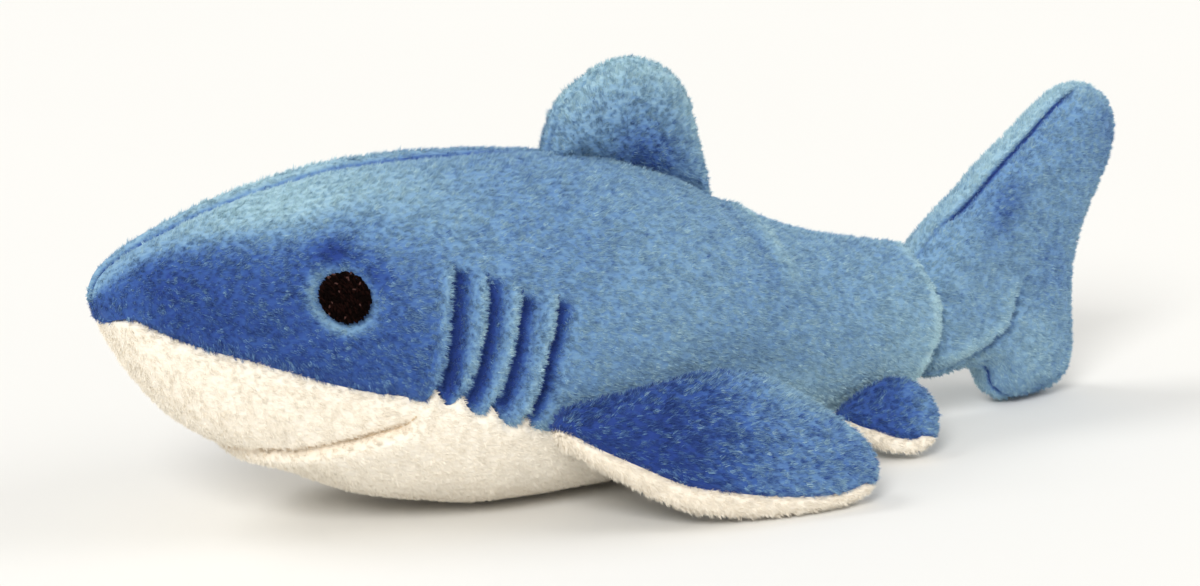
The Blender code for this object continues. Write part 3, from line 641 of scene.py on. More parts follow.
def pile(name, verts, faces, shade, flow, materials, seed, tuft=0.95, blades=9, long=1.42, lean=40.0, width=0.11, reach=0.66, gather=0.25,
         keep=None, length_at=None, jitter=0.07, clump=0.42, flecks=1.4):
    """Short fibres in tufts all over a piece of cloth. Each fibre is one thin leaning blade whose face looks outwards."""
    rng = np.random.default_rng(seed)
    verts, faces = np.asarray(verts, float), np.asarray(faces)
    tri = np.concatenate([faces[:, [0, 1, 2]], faces[:, [0, 2, 3]]]) if faces.shape[1] == 4 else faces
    a, b, c = (verts[tri[:, k]] for k in range(3))
    area = 0.5 * np.linalg.norm(np.cross(b - a, c - a), axis=1)
    total = area.sum()
    count = int(total / tuft * DENSE)
    normals = vertex_normals(verts, faces)
    pick = np.searchsorted(np.cumsum(area), rng.random(count) * total).clip(0, len(tri) - 1)
    u, v = rng.random(count), rng.random(count)
    over = u + v > 1
    u, v = np.where(over, 1 - u, u), np.where(over, 1 - v, v)
    w = np.stack([1 - u - v, u, v], 1)
    corner = tri[pick]
    blend3 = lambda values: (values[corner] * (w if values.ndim == 1 else w[..., None])).sum(1)
    p, n, s = blend3(verts), blend3(normals), blend3(np.asarray(shade, float))
    n /= np.linalg.norm(n, axis=1, keepdims=True)
    scale_l = np.ones(count) if length_at is None else blend3(np.asarray(length_at, float))
    if keep is not None:
        ok = blend3(np.asarray(keep, float)) > 0.5
        p, n, s, scale_l = p[ok], n[ok], s[ok], scale_l[ok]
        count = len(p)
    d = flow(p)
    swirl = clump * 0.5 * np.stack([noise(p, 7.0, seed + k) for k in (11, 12, 13)], 1)
    d = d + swirl + 0.28 * rng.normal(size=(count, 3))
    d -= n * (d * n).sum(1, keepdims=True)
    d /= np.maximum(np.linalg.norm(d, axis=1, keepdims=True), 1e-9)
    tilt = np.radians(lean + 9 * rng.normal(size=count) + 8 * clump * noise(p, 4.0, seed + 21)).clip(0.15, 1.5)
    size = long * scale_l * (1 + 0.14 * rng.normal(size=count) + 0.16 * noise(p, 5.0, seed + 31)).clip(0.45, 1.5)
    tip = p + size[:, None] * (np.cos(tilt)[:, None] * d + np.sin(tilt)[:, None] * n)
    # fibres of each tuft
    rep = lambda x: np.repeat(x, blades, axis=0)
    side = np.cross(n, d)
    m = count * blades
    ang, rad = rng.random(m) * 2 * np.pi, np.sqrt(rng.random(m)) * reach / math.sqrt(DENSE)
    off = rad[:, None] * (np.cos(ang)[:, None] * rep(d) + np.sin(ang)[:, None] * rep(side))
    root = rep(p) + off - 0.3 * rep(n)
    spread = 0.18 * rng.normal(size=(m, 3))
    end = rep(tip) + (1 - gather) * off + spread
    short = 1 - 0.35 * rng.random(m) ** 2
    end = root + (end - root) * short[:, None]
    line = end - root
    line /= np.maximum(np.linalg.norm(line, axis=1, keepdims=True), 1e-9)
    across = np.cross(line, rep(n))
    across /= np.maximum(np.linalg.norm(across, axis=1, keepdims=True), 1e-9)
    face = np.cross(across, line)
    roll = 0.55 * rng.normal(size=m)
    across = across * np.cos(roll)[:, None] + face * np.sin(roll)[:, None]
    half = width * (0.75 + 0.5 * rng.random(m)) * (1.0 if DENSE == 1 else 1.5)
    left, right = root - across * half[:, None], root + across * half[:, None]
    pts = np.stack([left, right, end], 1).reshape(-1, 3)
    idx = np.arange(m * 3).reshape(-1, 3)
    g = np.cross(right - left, end - left)
    wrong = (g * rep(n)).sum(1) < 0
    idx[wrong] = idx[wrong][:, ::-1]
    fleck = jitter * (1 + flecks * np.clip(0.75 - s, 0, 1))
    tone = rep(s + fleck * rng.normal(size=count) + 1.5 * fleck * noise(p, 1.5, seed + 41)) + rep(0.7 * fleck) * rng.normal(size=m)
    index = np.clip((tone * SHADES).astype(int), 0, SHADES - 1)
    pts[:, 2] = np.maximum(pts[:, 2], 0.02)
    return new_object(name, pts, idx, materials, index, False)


def flow_back(p):
    """The nap runs towards the tail and a little down the flanks."""
    d = np.zeros_like(p)
    d[:, 0] = 1.0
    d[:, 2] = -0.25 - 0.25 * step(0, -60, p[:, 0])
    d[:, 1] = -0.1 * np.sign(p[:, 1] - spine(p[:, 0]))
    return d


# where the back is light or deep, partly the cloth's own colour and partly painted light (the light crown and top of
# the head and the light strip over the nose are a painted highlight of the pile's sheen): x, angle, spread along,
# spread round, shade
TONES = ((-106, 0.2, 7, 0.75, 0.74), (-103, 1.5, 8, 0.6, 0.27), (-88, 0.9, 12, 0.5, 0.16), (-96, 0.1, 16, 0.35, 0.70), (-78, 0.15, 20, 0.45, 0.92), (-50, 0.25, 24, 0.45, 1.0),
         (-70, 1.15, 16, 0.35, 0.25), (-66, 1.45, 16, 0.3, 0.21), (-46, 1.55, 16, 0.3, 0.24), (-34, 1.35, 10, 0.4, 0.36), (-50, 0.85, 12, 0.22, 0.22),
         (-25, 0.35, 22, 0.5, 0.80), (-28, 1.0, 10, 0.3, 0.48), (-10, 1.35, 14, 0.4, 0.58), (0, 0.3, 22, 0.5, 0.59), (15, 0.9, 18, 0.35, 0.58),
         (22, 1.45, 16, 0.35, 0.64), (42, 0.35, 22, 0.5, 0.64), (50, 1.1, 20, 0.45, 0.70), (70, 0.4, 20, 0.5, 0.68), (80, 1.2, 20, 0.45, 0.63),
         (105, 0.5, 20, 0.5, 0.69), (110, 1.4, 20, 0.5, 0.69), (135, 0.6, 20, 0.5, 0.68), (140, 1.6, 20, 0.6, 0.78), (30, 2.0, 30, 0.3, 0.70),
         (90, 2.1, 30, 0.3, 0.84), (148, 2.3, 14, 0.5, 0.95), (-74, 0.74, 13, 0.20, 0.36), (-42, 0.66, 9, 0.16, 0.52))


def tone_of(x, phi):
    phi = np.abs(phi)
    top, bottom = np.full(np.shape(x), 1e-6) * 0.6, np.full(np.shape(x), 1e-6)
    for tx, tp, sx, sp, v in TONES:
        w = np.exp(-((x - tx) / sx) ** 2 - ((phi - tp) / sp) ** 2)
        top, bottom = top + w * v, bottom + w
    return top / bottom


made = {}


def keep_piece(obj, body_name=None, across=None, nodes=()):
    if across:
        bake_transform(obj)
    elif body_name:
        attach(obj, body_name)
    if nodes:
        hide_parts(*nodes)
    made[obj.name] = obj
    return obj


BEND_FRONT = ("body", "tail", (0.080, 0, 0.035), (0.126, 0, 0.035))
BEND_REAR = ("tail", "caudal_fin", (0.134, 0, 0.036), (0.166, 0, 0.036))


# ---- the back: one sewn panel each side, from the nose to the tail stock ----
ROWS, COLS = ((230, 96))
for word, side in (("left", 1.0), ("right", -1.0)):
    t = np.linspace(0, 1, ROWS)
    q_end = math.sqrt(SPLIT - X_TIP)
    q = 0.03 + (q_end - 0.03) * t ** 0.90
    x = X_TIP + q * q
    part = np.linspace(0, 1, COLS)
    xx = np.repeat(x[:, None], COLS, 1)
    edge = edge_phi(x)
    pp = side * edge[:, None] * part[None, :]
    verts, normals, dark = back_point(xx, pp)
    # the back's tones with the gills' painted shade and rib highlight, and the painted light and shade round the eye
    shade = tone_of(xx, pp) - np.where(dark > 0, 0.62, 0.40) * dark + eye_painted_light(xx, pp)
    # painted shade along the sunk seam over the top of the head
    shade -= 0.48 * bell(np.abs(pp) * ARC, 1.5) * step(40, -20, xx)
    # a painted highlight along the crest of the fold over the flank, and painted shade in the dip in front of it
    fold = xx - fold_x(pp)
    shade += (0.17 * bell(fold - 0.5, 3.4) - 0.08 * bell(fold + 7.0, 4.0)) * step(-0.10, 0.1, pp) * step(1.25, 0.80, pp)
    flat = verts.reshape(-1, 3)
    faces = outward(flat, grid_faces(ROWS, COLS), normals.reshape(-1, 3))
    name = "back_cloth_" + word
    back = new_object(name, flat, faces, [blue_cloth], floats=(("shade", shade.ravel() - 0.12),))
    a, b = eye_distance(xx, pp)
    r = np.hypot(a, b).ravel()
    lengths = (1 - 0.45 * bell(np.clip(r - 6.5, 0, None), 2.5)) * (1 - 0.35 * np.clip(dark.ravel(), 0, 1))
    lengths *= 1 - 0.30 * step(-92, -106, xx).ravel()
    lengths *= 1 - (0.65 * bell(np.abs(pp) * ARC, 2.6) * step(50, -10, xx)).ravel()
    fur = pile("back_pile_" + word, flat, faces, shade.ravel(), flow_back, blue_pile, 101 if side > 0 else 102,
               keep=(r > 6.0).astype(float), length_at=lengths)
    keep_piece(back, across=BEND_FRONT, nodes=("body_panel_" + word,))
    keep_piece(fur, across=BEND_FRONT)

# ---- the belly ----
t = np.linspace(0, 1, ROWS)
x0, x1 = SEAM[0][0] + 0.15, SEAM[-1][0] - 0.4
q = math.sqrt(x0 - X_TIP) + (math.sqrt(x1 - X_TIP) - math.sqrt(x0 - X_TIP)) * t ** 0.95
x = X_TIP + q * q
part = np.linspace(-1, 1, COLS + COLS // 2)
xx = np.repeat(x[:, None], len(part), 1)
pp = np.pi + (np.pi - edge_phi(x))[:, None] * part[None, :]
verts, normals, dark = belly_point(xx, pp)
flat = verts.reshape(-1, 3)
faces = outward(flat, grid_faces(ROWS, len(part)), normals.reshape(-1, 3))
# darkened along the mouth's tuck (partly its tan airbrushing, partly painted shade in the tuck), and painted shade
# darkening the belly towards the floor
shade = (0.84 + 0.03 * noise(flat, 9.0, 61) - 0.42 * dark.ravel() - 0.10 * step(12, 2, flat[:, 2]))
belly = new_object("belly_cloth", flat, faces, [cream_cloth], floats=(("shade", shade - 0.05),))
pressed = step(1.0, 7.0, flat[:, 2])
fur = pile("belly_pile", flat, faces, shade, lambda p: np.tile([1.0, 0, -0.1], (len(p), 1)), cream_pile, 103, long=1.25,
           lean=34, length_at=(0.45 + 0.55 * pressed) * (1 - 0.3 * dark.ravel()), jitter=0.012, clump=0.12, flecks=0.0)
keep_piece(belly, across=BEND_FRONT, nodes=("belly_panel", "tail_belly_panel"))
keep_piece(fur, across=BEND_FRONT)


# ---- the tail stock: it carries the back's cloth on to a rounded end about the root of the tail fin ----
def stock_end(phi, side):
    """Where the stock's flank starts to turn in."""
    cy = float(spine(CAUDAL_AXIS))
    out = []
    for f in phi:
        a, b = 120.0, 151.0
        for _ in range(30):
            m = 0.5 * (a + b)
            p = body(m, f)
            if (m - CAUDAL_AXIS) ** 2 + (p[1] - cy) ** 2 > 16.4 ** 2:
                a = m
            else:
                b = m
        out.append(0.5 * (a + b))
    return np.array(out)


SROWS, SCOLS = ((34, 84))
for word, side in (("left", 1.0), ("right", -1.0)):
    part = np.linspace(0, 1, SCOLS)
    ends = stock_end(side * np.pi * part, side) + 1.0 + 4.5 * bell(np.pi * part, 0.75)
    grid, cols_n = [], []
    for k in range(SROWS):
        u = k / (SROWS - 1)
        x = SPLIT - 1.2 + (ends - SPLIT + 1.2) * u
        edge = np.where(x < SEAM[-1][0], seam_phi(np.minimum(x, SEAM[-1][0] - 0.01)), np.pi)
        phi = side * edge * part
        v, n, _ = back_point(x, phi)
        grid.append(v)
        cols_n.append(n)
    # the rounded lip and the end
    last, n_last = grid[-1], cols_n[-1]
    centre = np.array([float(ends.mean()) + 5.0, float(spine(148.0)), 36.0])
    lip = 5.5
    for k in range(1, 15):
        a = min(k / 8, 1.0) * math.pi / 2
        inward = centre - last
        inward[:, 0] = 0
        far = np.linalg.norm(inward, axis=1, keepdims=True)
        inward /= np.maximum(far, 1e-6)
        travel = np.minimum(lip * (1 - math.cos(a)), far * 0.9)
        p = last + inward * travel
        p[:, 0] += lip * 0.8 * math.sin(a)
        if k > 8:
            f = (k - 8) / 6
            p = p * (1 - f) + (centre + np.array([1.5, 0, 0])) * f
        n = n_last * math.cos(a) + np.array([1.0, 0, 0]) * math.sin(a)
        grid.append(p)
        cols_n.append(n / np.linalg.norm(n, axis=1, keepdims=True))
    verts, normals = np.array(grid), np.array(cols_n)
    flat = verts.reshape(-1, 3)
    faces = outward(flat, grid_faces(len(grid), SCOLS), normals.reshape(-1, 3))
    xx = flat[:, 0]
    pp = np.repeat((np.pi * part)[None], len(grid), 0).ravel()
    shade = tone_of(np.minimum(xx, 146), pp)
    late = np.repeat(np.arange(len(grid))[:, None], SCOLS, 1).ravel()
    # a painted highlight along the rounded lip at the stock's end, and painted shade over the end beyond it, in the gap
    # against the tail fin's root
    shade = shade + 0.20 * bell((late - SROWS - 1) / 1.0, 3.0) - 0.25 * step(SROWS + 6, SROWS + 10, late)
    stock = new_object("stock_cloth_" + word, flat, faces, [blue_cloth], floats=(("shade", shade - 0.12),))
    fur = pile("stock_pile_" + word, flat, faces, shade, flow_back, blue_pile, 104 if side > 0 else 105,
               keep=(late < SROWS + 10).astype(float))
    keep_piece(stock, across=BEND_REAR, nodes=("tail_panel_" + word,))
    keep_piece(fur, across=BEND_REAR)


# ---- fins ----
def fin_thickness(outline, ring, edge, half, crown, limit):
    d = distance_to(outline, ring)
    h = half * np.sqrt(np.clip(1 - (1 - np.clip(d / edge, 0, 1)) ** 2, 0, 1))
    far = np.clip(d / 18.0, 0, 1)
    h = h * (1 - crown + crown * far * (2 - far))
    if limit is not None:
        h = np.minimum(h, np.maximum(limit(ring, 0.0), 2.2))
    return h, d


def soft_fin(prefix, sheet, outline, centre, edge, half, limit, seam_in, joins, body_name, colours, tones, flow, seed, slots, nodes,
             long=1.42, inset_by=1.0, crown=0.3, across=None, floor=None, wrinkle=0.35, depth=1.0, line_dark=0.0,
             jitter=0.07, clump=0.42, relief=None):
    """A fin as two sewn cloths over filling. seam_in is how far the seam lies in from the edge, on the first side, at each outline point."""
    rings, back = ((24, 36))
    line = inset(outline, inset_by * 0.6)
    centre = np.asarray(centre, float)
    ray = line - centre
    far = np.linalg.norm(ray, axis=1)
    seam = 1 - np.asarray(seam_in) / far            # 0 is the middle of the first side, 1 the edge, 2 the middle of the other
    n = len(line)
    sunk = np.broadcast_to(np.asarray(depth, float), (n,))

    def arc(d, side):
        """How far round the rolled edge a place lies, from the very edge."""
        return side * edge * (np.arccos(1 - np.clip(d / edge, 0, 1)) + np.maximum(d / edge - 1, 0))

    at_seam = centre + np.where(seam <= 1, seam, 2 - seam)[:, None] * ray
    seam_arc = arc(distance_to(line, at_seam), np.where(seam <= 1, 1.0, -1.0))

    def place(s):
        side = np.where(s <= 1, 1.0, -1.0)
        ring = centre + np.where(s <= 1, s, 2 - s)[:, None] * ray
        h, d = fin_thickness(line, ring, edge, half - inset_by * 0.8, crown, limit)
        p0 = sheet.at(ring, side * h)
        h = h + wrinkle * (noise(p0, 14.0, seed) + 0.5 * noise(p0, 6.0, seed + 1)) * step(0, 4, d)
        if relief is not None:
            h = h + relief(ring) * (s <= 1)
        gap = np.abs(arc(d, side) - seam_arc)
        h = h - sunk * np.minimum(1.0, h / half + 0.25) * bell(gap, 0.9)
        outline_way = ray / far[:, None]
        ring = ring - outline_way * (sunk * np.clip(1 - d / edge, 0, 1) * bell(gap, 0.9))[:, None]
        return sheet.at(ring, side * h), ring, gap

    a_pts, a_sh, a_gap, b_pts, b_sh, b_gap = [], [], [], [], [], []
    line_dark = np.broadcast_to(np.asarray(line_dark, float), (n,))
    for k in range(rings + 1):
        p, ring, gap = place(seam * (1 - (1 - k / rings) ** 1.7))
        a_pts.append(p)
        # darker along the sunk seam: painted shade in its groove, deepened where line_dark is set
        a_sh.append(tones(ring, 1) - 0.14 * bell(gap, 1.2) - line_dark * bell(gap, 0.75))
        a_gap.append(gap)
    for k in range(back + 1):
        p, ring, gap = place(seam + (2 - seam) * (k / back) ** 1.7)
        b_pts.append(p)
        # the same painted shade along the seam on this side
        b_sh.append(tones(ring, -1) - 0.10 * bell(gap, 1.2) - line_dark * bell(gap, 0.75))
        b_gap.append(gap)
    a_pts, a_sh, b_pts, b_sh = (np.array(g) for g in (a_pts, a_sh, b_pts, b_sh))
    gaps = (np.array(a_gap), np.array(b_gap))
    for part, (g, sh, sign) in enumerate(((a_pts, a_sh, 1.0), (b_pts, b_sh, -1.0))):
        flat = g.reshape(-1, 3)
        if floor is not None:
            flat[:, 2] = np.maximum(flat[:, 2], floor)
        f = grid_faces(len(g), n, True)
        mid = flat.mean(0)
        f = outward(flat, f, np.repeat((sign * sheet.n)[None], len(flat), 0)) if part == 0 else f
        if part == 1:
            inner = f[(back * 3 // 4) * n:]
            fa, fb, fc = (flat[inner[:, k]] for k in range(3))
            if (np.cross(fb - fa, fc - fa) @ (-sheet.n)).sum() < 0:
                f = f[:, ::-1]
        cloth, fibres = (blue_cloth, blue_pile) if colours[part] == "blue" else (cream_cloth, cream_pile)
        piece = new_object("%s_cloth_%s" % (prefix, slots[part][1]), flat, f, [cloth], floats=(("shade", sh.ravel() - 0.10),))
        fur = pile("%s_pile_%s" % (prefix, slots[part][1]), flat, f, sh.ravel(), flow, fibres, seed + 50 + part, long=long,
                   length_at=(1 - (0.25 + 0.4 * (line_dark > 0)) * bell(gaps[part], 1.3)).ravel(), jitter=jitter if colours[part] == "blue" else 0.012, clump=clump if colours[part] == "blue" else 0.15,
                   flecks=1.4 if colours[part] == "blue" else 0.0)
        for o, extra in ((piece, True), (fur, False)):
            keep_piece(o, None if across else body_name, across, nodes[part] if extra else ())


def seam_from(outline, rule):
    return np.array([rule(*p) for p in outline])


FIN_N = 150

# dorsal fin, its foot carried on into the back
dorsal_line = [(x + 1.7 * step(56, 64, x) * step(90, 98, z) + 0.5 * step(32, 29, x), z) for x, z in DORSAL_TOP] + [(x, float(_top(math.sqrt(x - X_TIP))) - 3.5) for x in (80.0, 73.0, 64.0, 54.0, 44.0, 35.0, 26.8)]
dorsal_curve = closed_curve(dorsal_line, FIN_N)


def dorsal_tones(pq, side):
    up = pq[:, 1] - _top(np.sqrt(np.clip(pq[:, 0] - X_TIP, 0, None)))
    rim = distance_to(dorsal_curve, pq)
    # lighter up the fin and deeper round its foot; the light band just inside the rim is a painted highlight of the
    # pile's sheen
    return (0.74 + 0.10 * step(8, 28, up) - 0.05 * bell(up, 8.0) - 0.34 * bell(np.hypot(pq[:, 0] - 57.0, (up - 3.0) * 1.05), 12.0)
            + 0.12 * bell(rim - 1.0, 3.0) * step(4, 12, up))


def dorsal_flow(p):
    d = p - np.array([50.0, 0, 78.0])
    d[:, 1] *= 0.3
    return d / np.linalg.norm(d, axis=1, keepdims=True)


def dorsal_edge(p, off):
    return np.full(len(p), 30.0)


soft_fin("dorsal_fin", DORSAL, dorsal_curve, DORSAL_CENTRE, DORSAL_EDGE + 1.5, DORSAL_HALF, dorsal_edge, np.full(FIN_N, 0.5), None, "dorsal_fin",
         ("blue", "blue"), dorsal_tones, dorsal_flow, 200, (("deep_blue_plush", "left"), ("deep_blue_plush", "right")),
         (("dorsal_panel_left",), ("dorsal_panel_right",)), inset_by=0.4, jitter=0.085, long=1.6)

# tail fin: its seam runs up the near side of the leading edge
def fuller_root(p, q):
    """The cloth swells over the top of the tail fin's root, where the stock runs into its leading edge."""
    w = float(step(16, 3, p) * step(5, 16, q))
    return p - 0.4 * w, q + 1.9 * w


caudal_curve = closed_curve([fuller_root(p, q) for p, q in CAUDAL_OUTLINE], FIN_N)
ROOT_FOLD = ((-10.0, -19.1), (6.8, -16.2), (17.4, -12.9), (25.7, -7.6), (28.3, 0.9), (31.2, 6.4))


def to_line(pq, line):
    """Signed distance from a line in the fin's sheet, above it positive, and how far along the line from 0 to 1."""
    best, sign, along = np.full(len(pq), 1e9), np.ones(len(pq)), np.zeros(len(pq))
    pts = np.array(line, float)
    for k in range(len(pts) - 1):
        d = pts[k + 1] - pts[k]
        t = np.clip(((pq - pts[k]) @ d) / (d @ d), 0, 1)
        off = pq - (pts[k] + t[:, None] * d)
        r = np.hypot(off[:, 0], off[:, 1])
        near = r < best
        best, along = np.where(near, r, best), np.where(near, (k + t) / (len(pts) - 1), along)
        sign = np.where(near, np.where(d[0] * off[:, 1] - d[1] * off[:, 0] > 0, 1.0, -1.0), sign)
    return best * sign, along


def root_fold(pq):
    """The filled root stands over the lower lobe with a soft fold between them."""
    d, t = to_line(pq, ROOT_FOLD)
    fade = step(1.0, 0.72, t) * step(0.0, 0.15, t)
    return fade * (1.3 * bell(np.clip(d - 2.0, 0, None), 5.0) * step(-1.0, 1.0, d) - 1.7 * bell(d + 1.4, 1.9))




def leading(p, q):
    """1 along the upper leading edge of the tail fin, 0 elsewhere."""
    return float(step(0, 5, p) * step(61, 57, p) * step(20, 24, q))


def lower_front(p, q):
    return float(step(16, 24, p) * step(44, 36, p) * step(-20, -24, q))


def caudal_seam(p, q):
    return 0.5 + 0.9 * leading(p, q) + 0.6 * lower_front(p, q)


def caudal_tones(pq, side):
    p, q = pq[:, 0], pq[:, 1]
    if side < 0:
        return 0.80 + 0.10 * step(20, 50, q)
    t = 0.68 - 0.07 * step(10, 50, q)
    t -= 0.24 * bell(np.hypot((p - 22) * 0.8 - (q - 26) * 0.6, ((p - 22) * 0.6 + (q - 26) * 0.8) * 0.55), 6.0)
    # a painted highlight on the crest of the fold at the root, and painted shade in the crease below it
    away, along = to_line(pq, ROOT_FOLD)
    t += step(1.0, 0.72, along) * step(0.0, 0.15, along) * (0.13 * bell(away - 2.0, 2.6) - 0.20 * bell(away + 1.5, 1.6))
    t -= 0.13 * bell(np.hypot(p - 44, (q - 6) * 0.6), 9.0) + 0.10 * bell(np.hypot(p - 68, q - 44), 8.0)
    # the first term is a painted highlight of the pile's sheen along the rear edge
    t += 0.16 * bell(distance_to(caudal_curve, pq), 5.0) * step(52, 60, p) + 0.14 * bell(np.hypot((p - 10) * 0.7, q + 19), 8.0)
    # the second term is painted shade at the foot of the lower lobe, where it rests on the floor
    t += 0.10 * bell(np.hypot(p - 40, (q + 16) * 0.9), 10.0) - 0.10 * bell(np.hypot((p - 47) * 0.6, q + 34), 4.0)
    return t


CSHEET = caudal_sheet()


def caudal_flow(p):
    d = p - (CSHEET.o - 30 * CSHEET.e1)
    return d / np.linalg.norm(d, axis=1, keepdims=True)


soft_fin("tail_fin", CSHEET, caudal_curve, CAUDAL_CENTRE, CAUDAL_EDGE, CAUDAL_HALF, None, seam_from(caudal_curve, caudal_seam), None, "caudal_fin",
         ("blue", "blue"), caudal_tones, caudal_flow, 230, (("blue_plush", "left"), ("blue_plush", "right")),
         (("caudal_panel_left",), ("caudal_panel_right",)), inset_by=0.6, relief=root_fold,
         depth=seam_from(caudal_curve, lambda p, q: 0.8 + 1.1 * leading(p, q) + 0.5 * lower_front(p, q) + 1.2 * float(bell(math.hypot(p - 58.5, q - 58.5), 3.0))),
         line_dark=seam_from(caudal_curve, lambda p, q: 0.62 * leading(p, q) + 0.4 * lower_front(p, q)))


# pectoral fins: blue above, cream below, the seam up on the top side along the lower edge
def pushed_root(points, low, high, by, drop=0.0):
    out = []
    for p, q in points:
        w = float(step(low - 8, low, p) * step(high + 8, high, p)) if q > 0 else 0.0
        low_edge = float(step(8, 30, p)) * drop if q < -4 else 0.0
        out.append((p, q + by * w - low_edge))
    return out


pectoral_curve = closed_curve([(p - 2.6 * float(step(12, 0, p)), q) for p, q in pushed_root(PECTORAL_OUTLINE, 4.0, 50.0, -0.4, 1.0)], FIN_N)


def pectoral_seam(p, q):
    late = float(step(60, 84, p))
    return -2.2 + 6.8 * step(2.0 - 11.0 * late, -5.0 - 9.5 * late, q) * (1 - 0.2 * late)


def pectoral_tones(pq, side):
    if side < 0:
        return np.full(len(pq), 0.76)
    deep = 0.09 + 0.39 * step(22, 64, pq[:, 0]) - 0.05 * step(70, 90, pq[:, 0])
    edge = distance_to(pectoral_curve, pq)
    # the light band along the edge is a painted highlight of the pile's sheen
    return deep + 0.16 * bell(edge, 4.0) * step(20, 60, pq[:, 0]) + 0.10 * bell(pq[:, 1] - 12, 7.0)


def pelvic_tones(pq, side):
    if side < 0:
        return np.full(len(pq), 0.78)
    return 0.22 + 0.28 * step(8, 22, pq[:, 0])


pelvic_curve = closed_curve(pushed_root(PELVIC_OUTLINE, 0.0, 16.0, 3.0), FIN_N // 2)


def pelvic_seam(p, q):
    late = float(step(12, 22, p))
    return -1.8 + 4.4 * step(1.5 - 5.0 * late, -3.5 - 6.0 * late, q)


for word, mirror in (("left", False), ("right", True)):
    sheet = PECTORAL.mirrored(0.0) if mirror else PECTORAL
    along = lambda p, s=sheet: (lambda d: d / np.linalg.norm(d, axis=1, keepdims=True))(p - (s.o - 40 * s.e1 + 6 * s.e2))
    soft_fin("pectoral_fin_" + word, sheet, pectoral_curve, PECTORAL_CENTRE, PECTORAL_EDGE + 1.0, PECTORAL_HALF,
             lambda pq, off: hinge_limit(PECTORAL_HINGE, 3.6, 0.6, 0.03)(pq, off), seam_from(pectoral_curve, pectoral_seam), None,
             "pectoral_fin_" + word, ("blue", "cream"), pectoral_tones, along, 260 + 10 * mirror,
             (("deep_blue_plush", "top"), ("cream_plush", "under")), (("pectoral_%s_top" % word,), ("pectoral_%s_under" % word,)),
             long=1.75, floor=0.9, inset_by=0.3, jitter=0.09, clump=0.8)
    sheet = PELVIC.mirrored(float(spine(120.0))) if mirror else PELVIC
    along = lambda p, s=sheet: (lambda d: d / np.linalg.norm(d, axis=1, keepdims=True))(p - (s.o - 20 * s.e1 + 4 * s.e2))
    soft_fin("pelvic_fin_" + word, sheet, pelvic_curve, PELVIC_CENTRE, PELVIC_EDGE, PELVIC_HALF,
             lambda pq, off: hinge_limit(PELVIC_HINGE, 3.0, 0.6, 0.03)(pq, off), seam_from(pelvic_curve, pelvic_seam), None,
             "pelvic_fin_" + word, ("blue", "cream"), pelvic_tones, along, 290 + 10 * mirror,
             (("deep_blue_plush", "top"), ("cream_plush", "under")), (("pelvic_%s_top" % word,), ("pelvic_%s_under" % word,)), inset_by=0.5)


# ---- threads ----
def thread_material(name, table, scale=2500.0, spec=0.22):
    m, b = principled(name, 0.62, 0.0, (1, 1, 1), 0.4, spec)
    b.inputs["IOR"].default_value = 1.45 if spec > 0.1 else 1.2
    t = m.node_tree
    n, l = t.nodes, t.links
    tc = n.new("ShaderNodeTexCoord")
    noise_n = n.new("ShaderNodeTexNoise")
    noise_n.inputs["Scale"].default_value = scale
    noise_n.inputs["Detail"].default_value = 3.0
    ramp = n.new("ShaderNodeValToRGB")
    while len(ramp.color_ramp.elements) > 1:
        ramp.color_ramp.elements.remove(ramp.color_ramp.elements[-1])
    for k, (pos, col) in enumerate(table):
        e = ramp.color_ramp.elements[0] if k == 0 else ramp.color_ramp.elements.new(pos)
        e.position, e.color = 0.25 + 0.5 * pos, (*col, 1)
    bump = n.new("ShaderNodeBump")
    bump.inputs["Strength"].default_value = 0.5
    bump.inputs["Distance"].default_value = 0.0001
    l.new(tc.outputs["Object"], noise_n.inputs["Vector"])
    l.new(noise_n.outputs["Fac"], ramp.inputs["Fac"])
    l.new(ramp.outputs["Color"], b.inputs["Base Color"])
    l.new(noise_n.outputs["Fac"], bump.inputs["Height"])
    l.new(bump.outputs["Normal"], b.inputs["Normal"])
    return m


def tubes(name, paths, radius, materials, index=None, sides=6, flat=1.0, ups=None):
    verts, faces, mats = [], [], []
    for i, pts in enumerate(paths):
        pts = np.asarray(pts, float)
        along = np.gradient(pts, axis=0)
        along /= np.linalg.norm(along, axis=1, keepdims=True)
        up = np.array([0, 0, 1.0]) if ups is None else ups[i]
        u = np.cross(along, up)
        u /= np.maximum(np.linalg.norm(u, axis=1, keepdims=True), 1e-9)
        v = np.cross(u, along)
        taper = np.minimum(1.0, np.sin(np.linspace(0.0, math.pi, len(pts))) * 2.2 + 0.25)
        ang = np.linspace(0, 2 * math.pi, sides, endpoint=False)
        ring = pts[:, None] + (radius * taper)[:, None, None] * (np.cos(ang)[None, :, None] * u[:, None] + flat * np.sin(ang)[None, :, None] * v[:, None])
        start = sum(len(x) for x in verts)
        verts.append(ring.reshape(-1, 3))
        f = grid_faces(len(pts), sides, True, start)
        faces.append(f)
        mats += [0 if index is None else index[i]] * len(f)
    return new_object(name, np.concatenate(verts), np.concatenate(faces), materials, mats)


blue_thread = thread_material("blue_thread", ((0.0, (0.012, 0.035, 0.14)), (1.0, (0.05, 0.12, 0.32))))
tan_thread = thread_material("tan_thread", ((0.0, (0.50, 0.36, 0.22)), (1.0, (0.80, 0.66, 0.48))))
eye_dark = thread_material("eye_thread_dark", ((0.0, (0.0012, 0.0006, 0.0005)), (1.0, (0.0045, 0.002, 0.0016))), spec=0.06)
eye_brown = thread_material("eye_thread_brown", ((0.0, (0.003, 0.001, 0.0008)), (1.0, (0.012, 0.004, 0.003))), spec=0.08)
eye_light = thread_material("eye_thread_light", ((0.0, (0.02, 0.008, 0.006)), (1.0, (0.09, 0.035, 0.028))), spec=0.2)


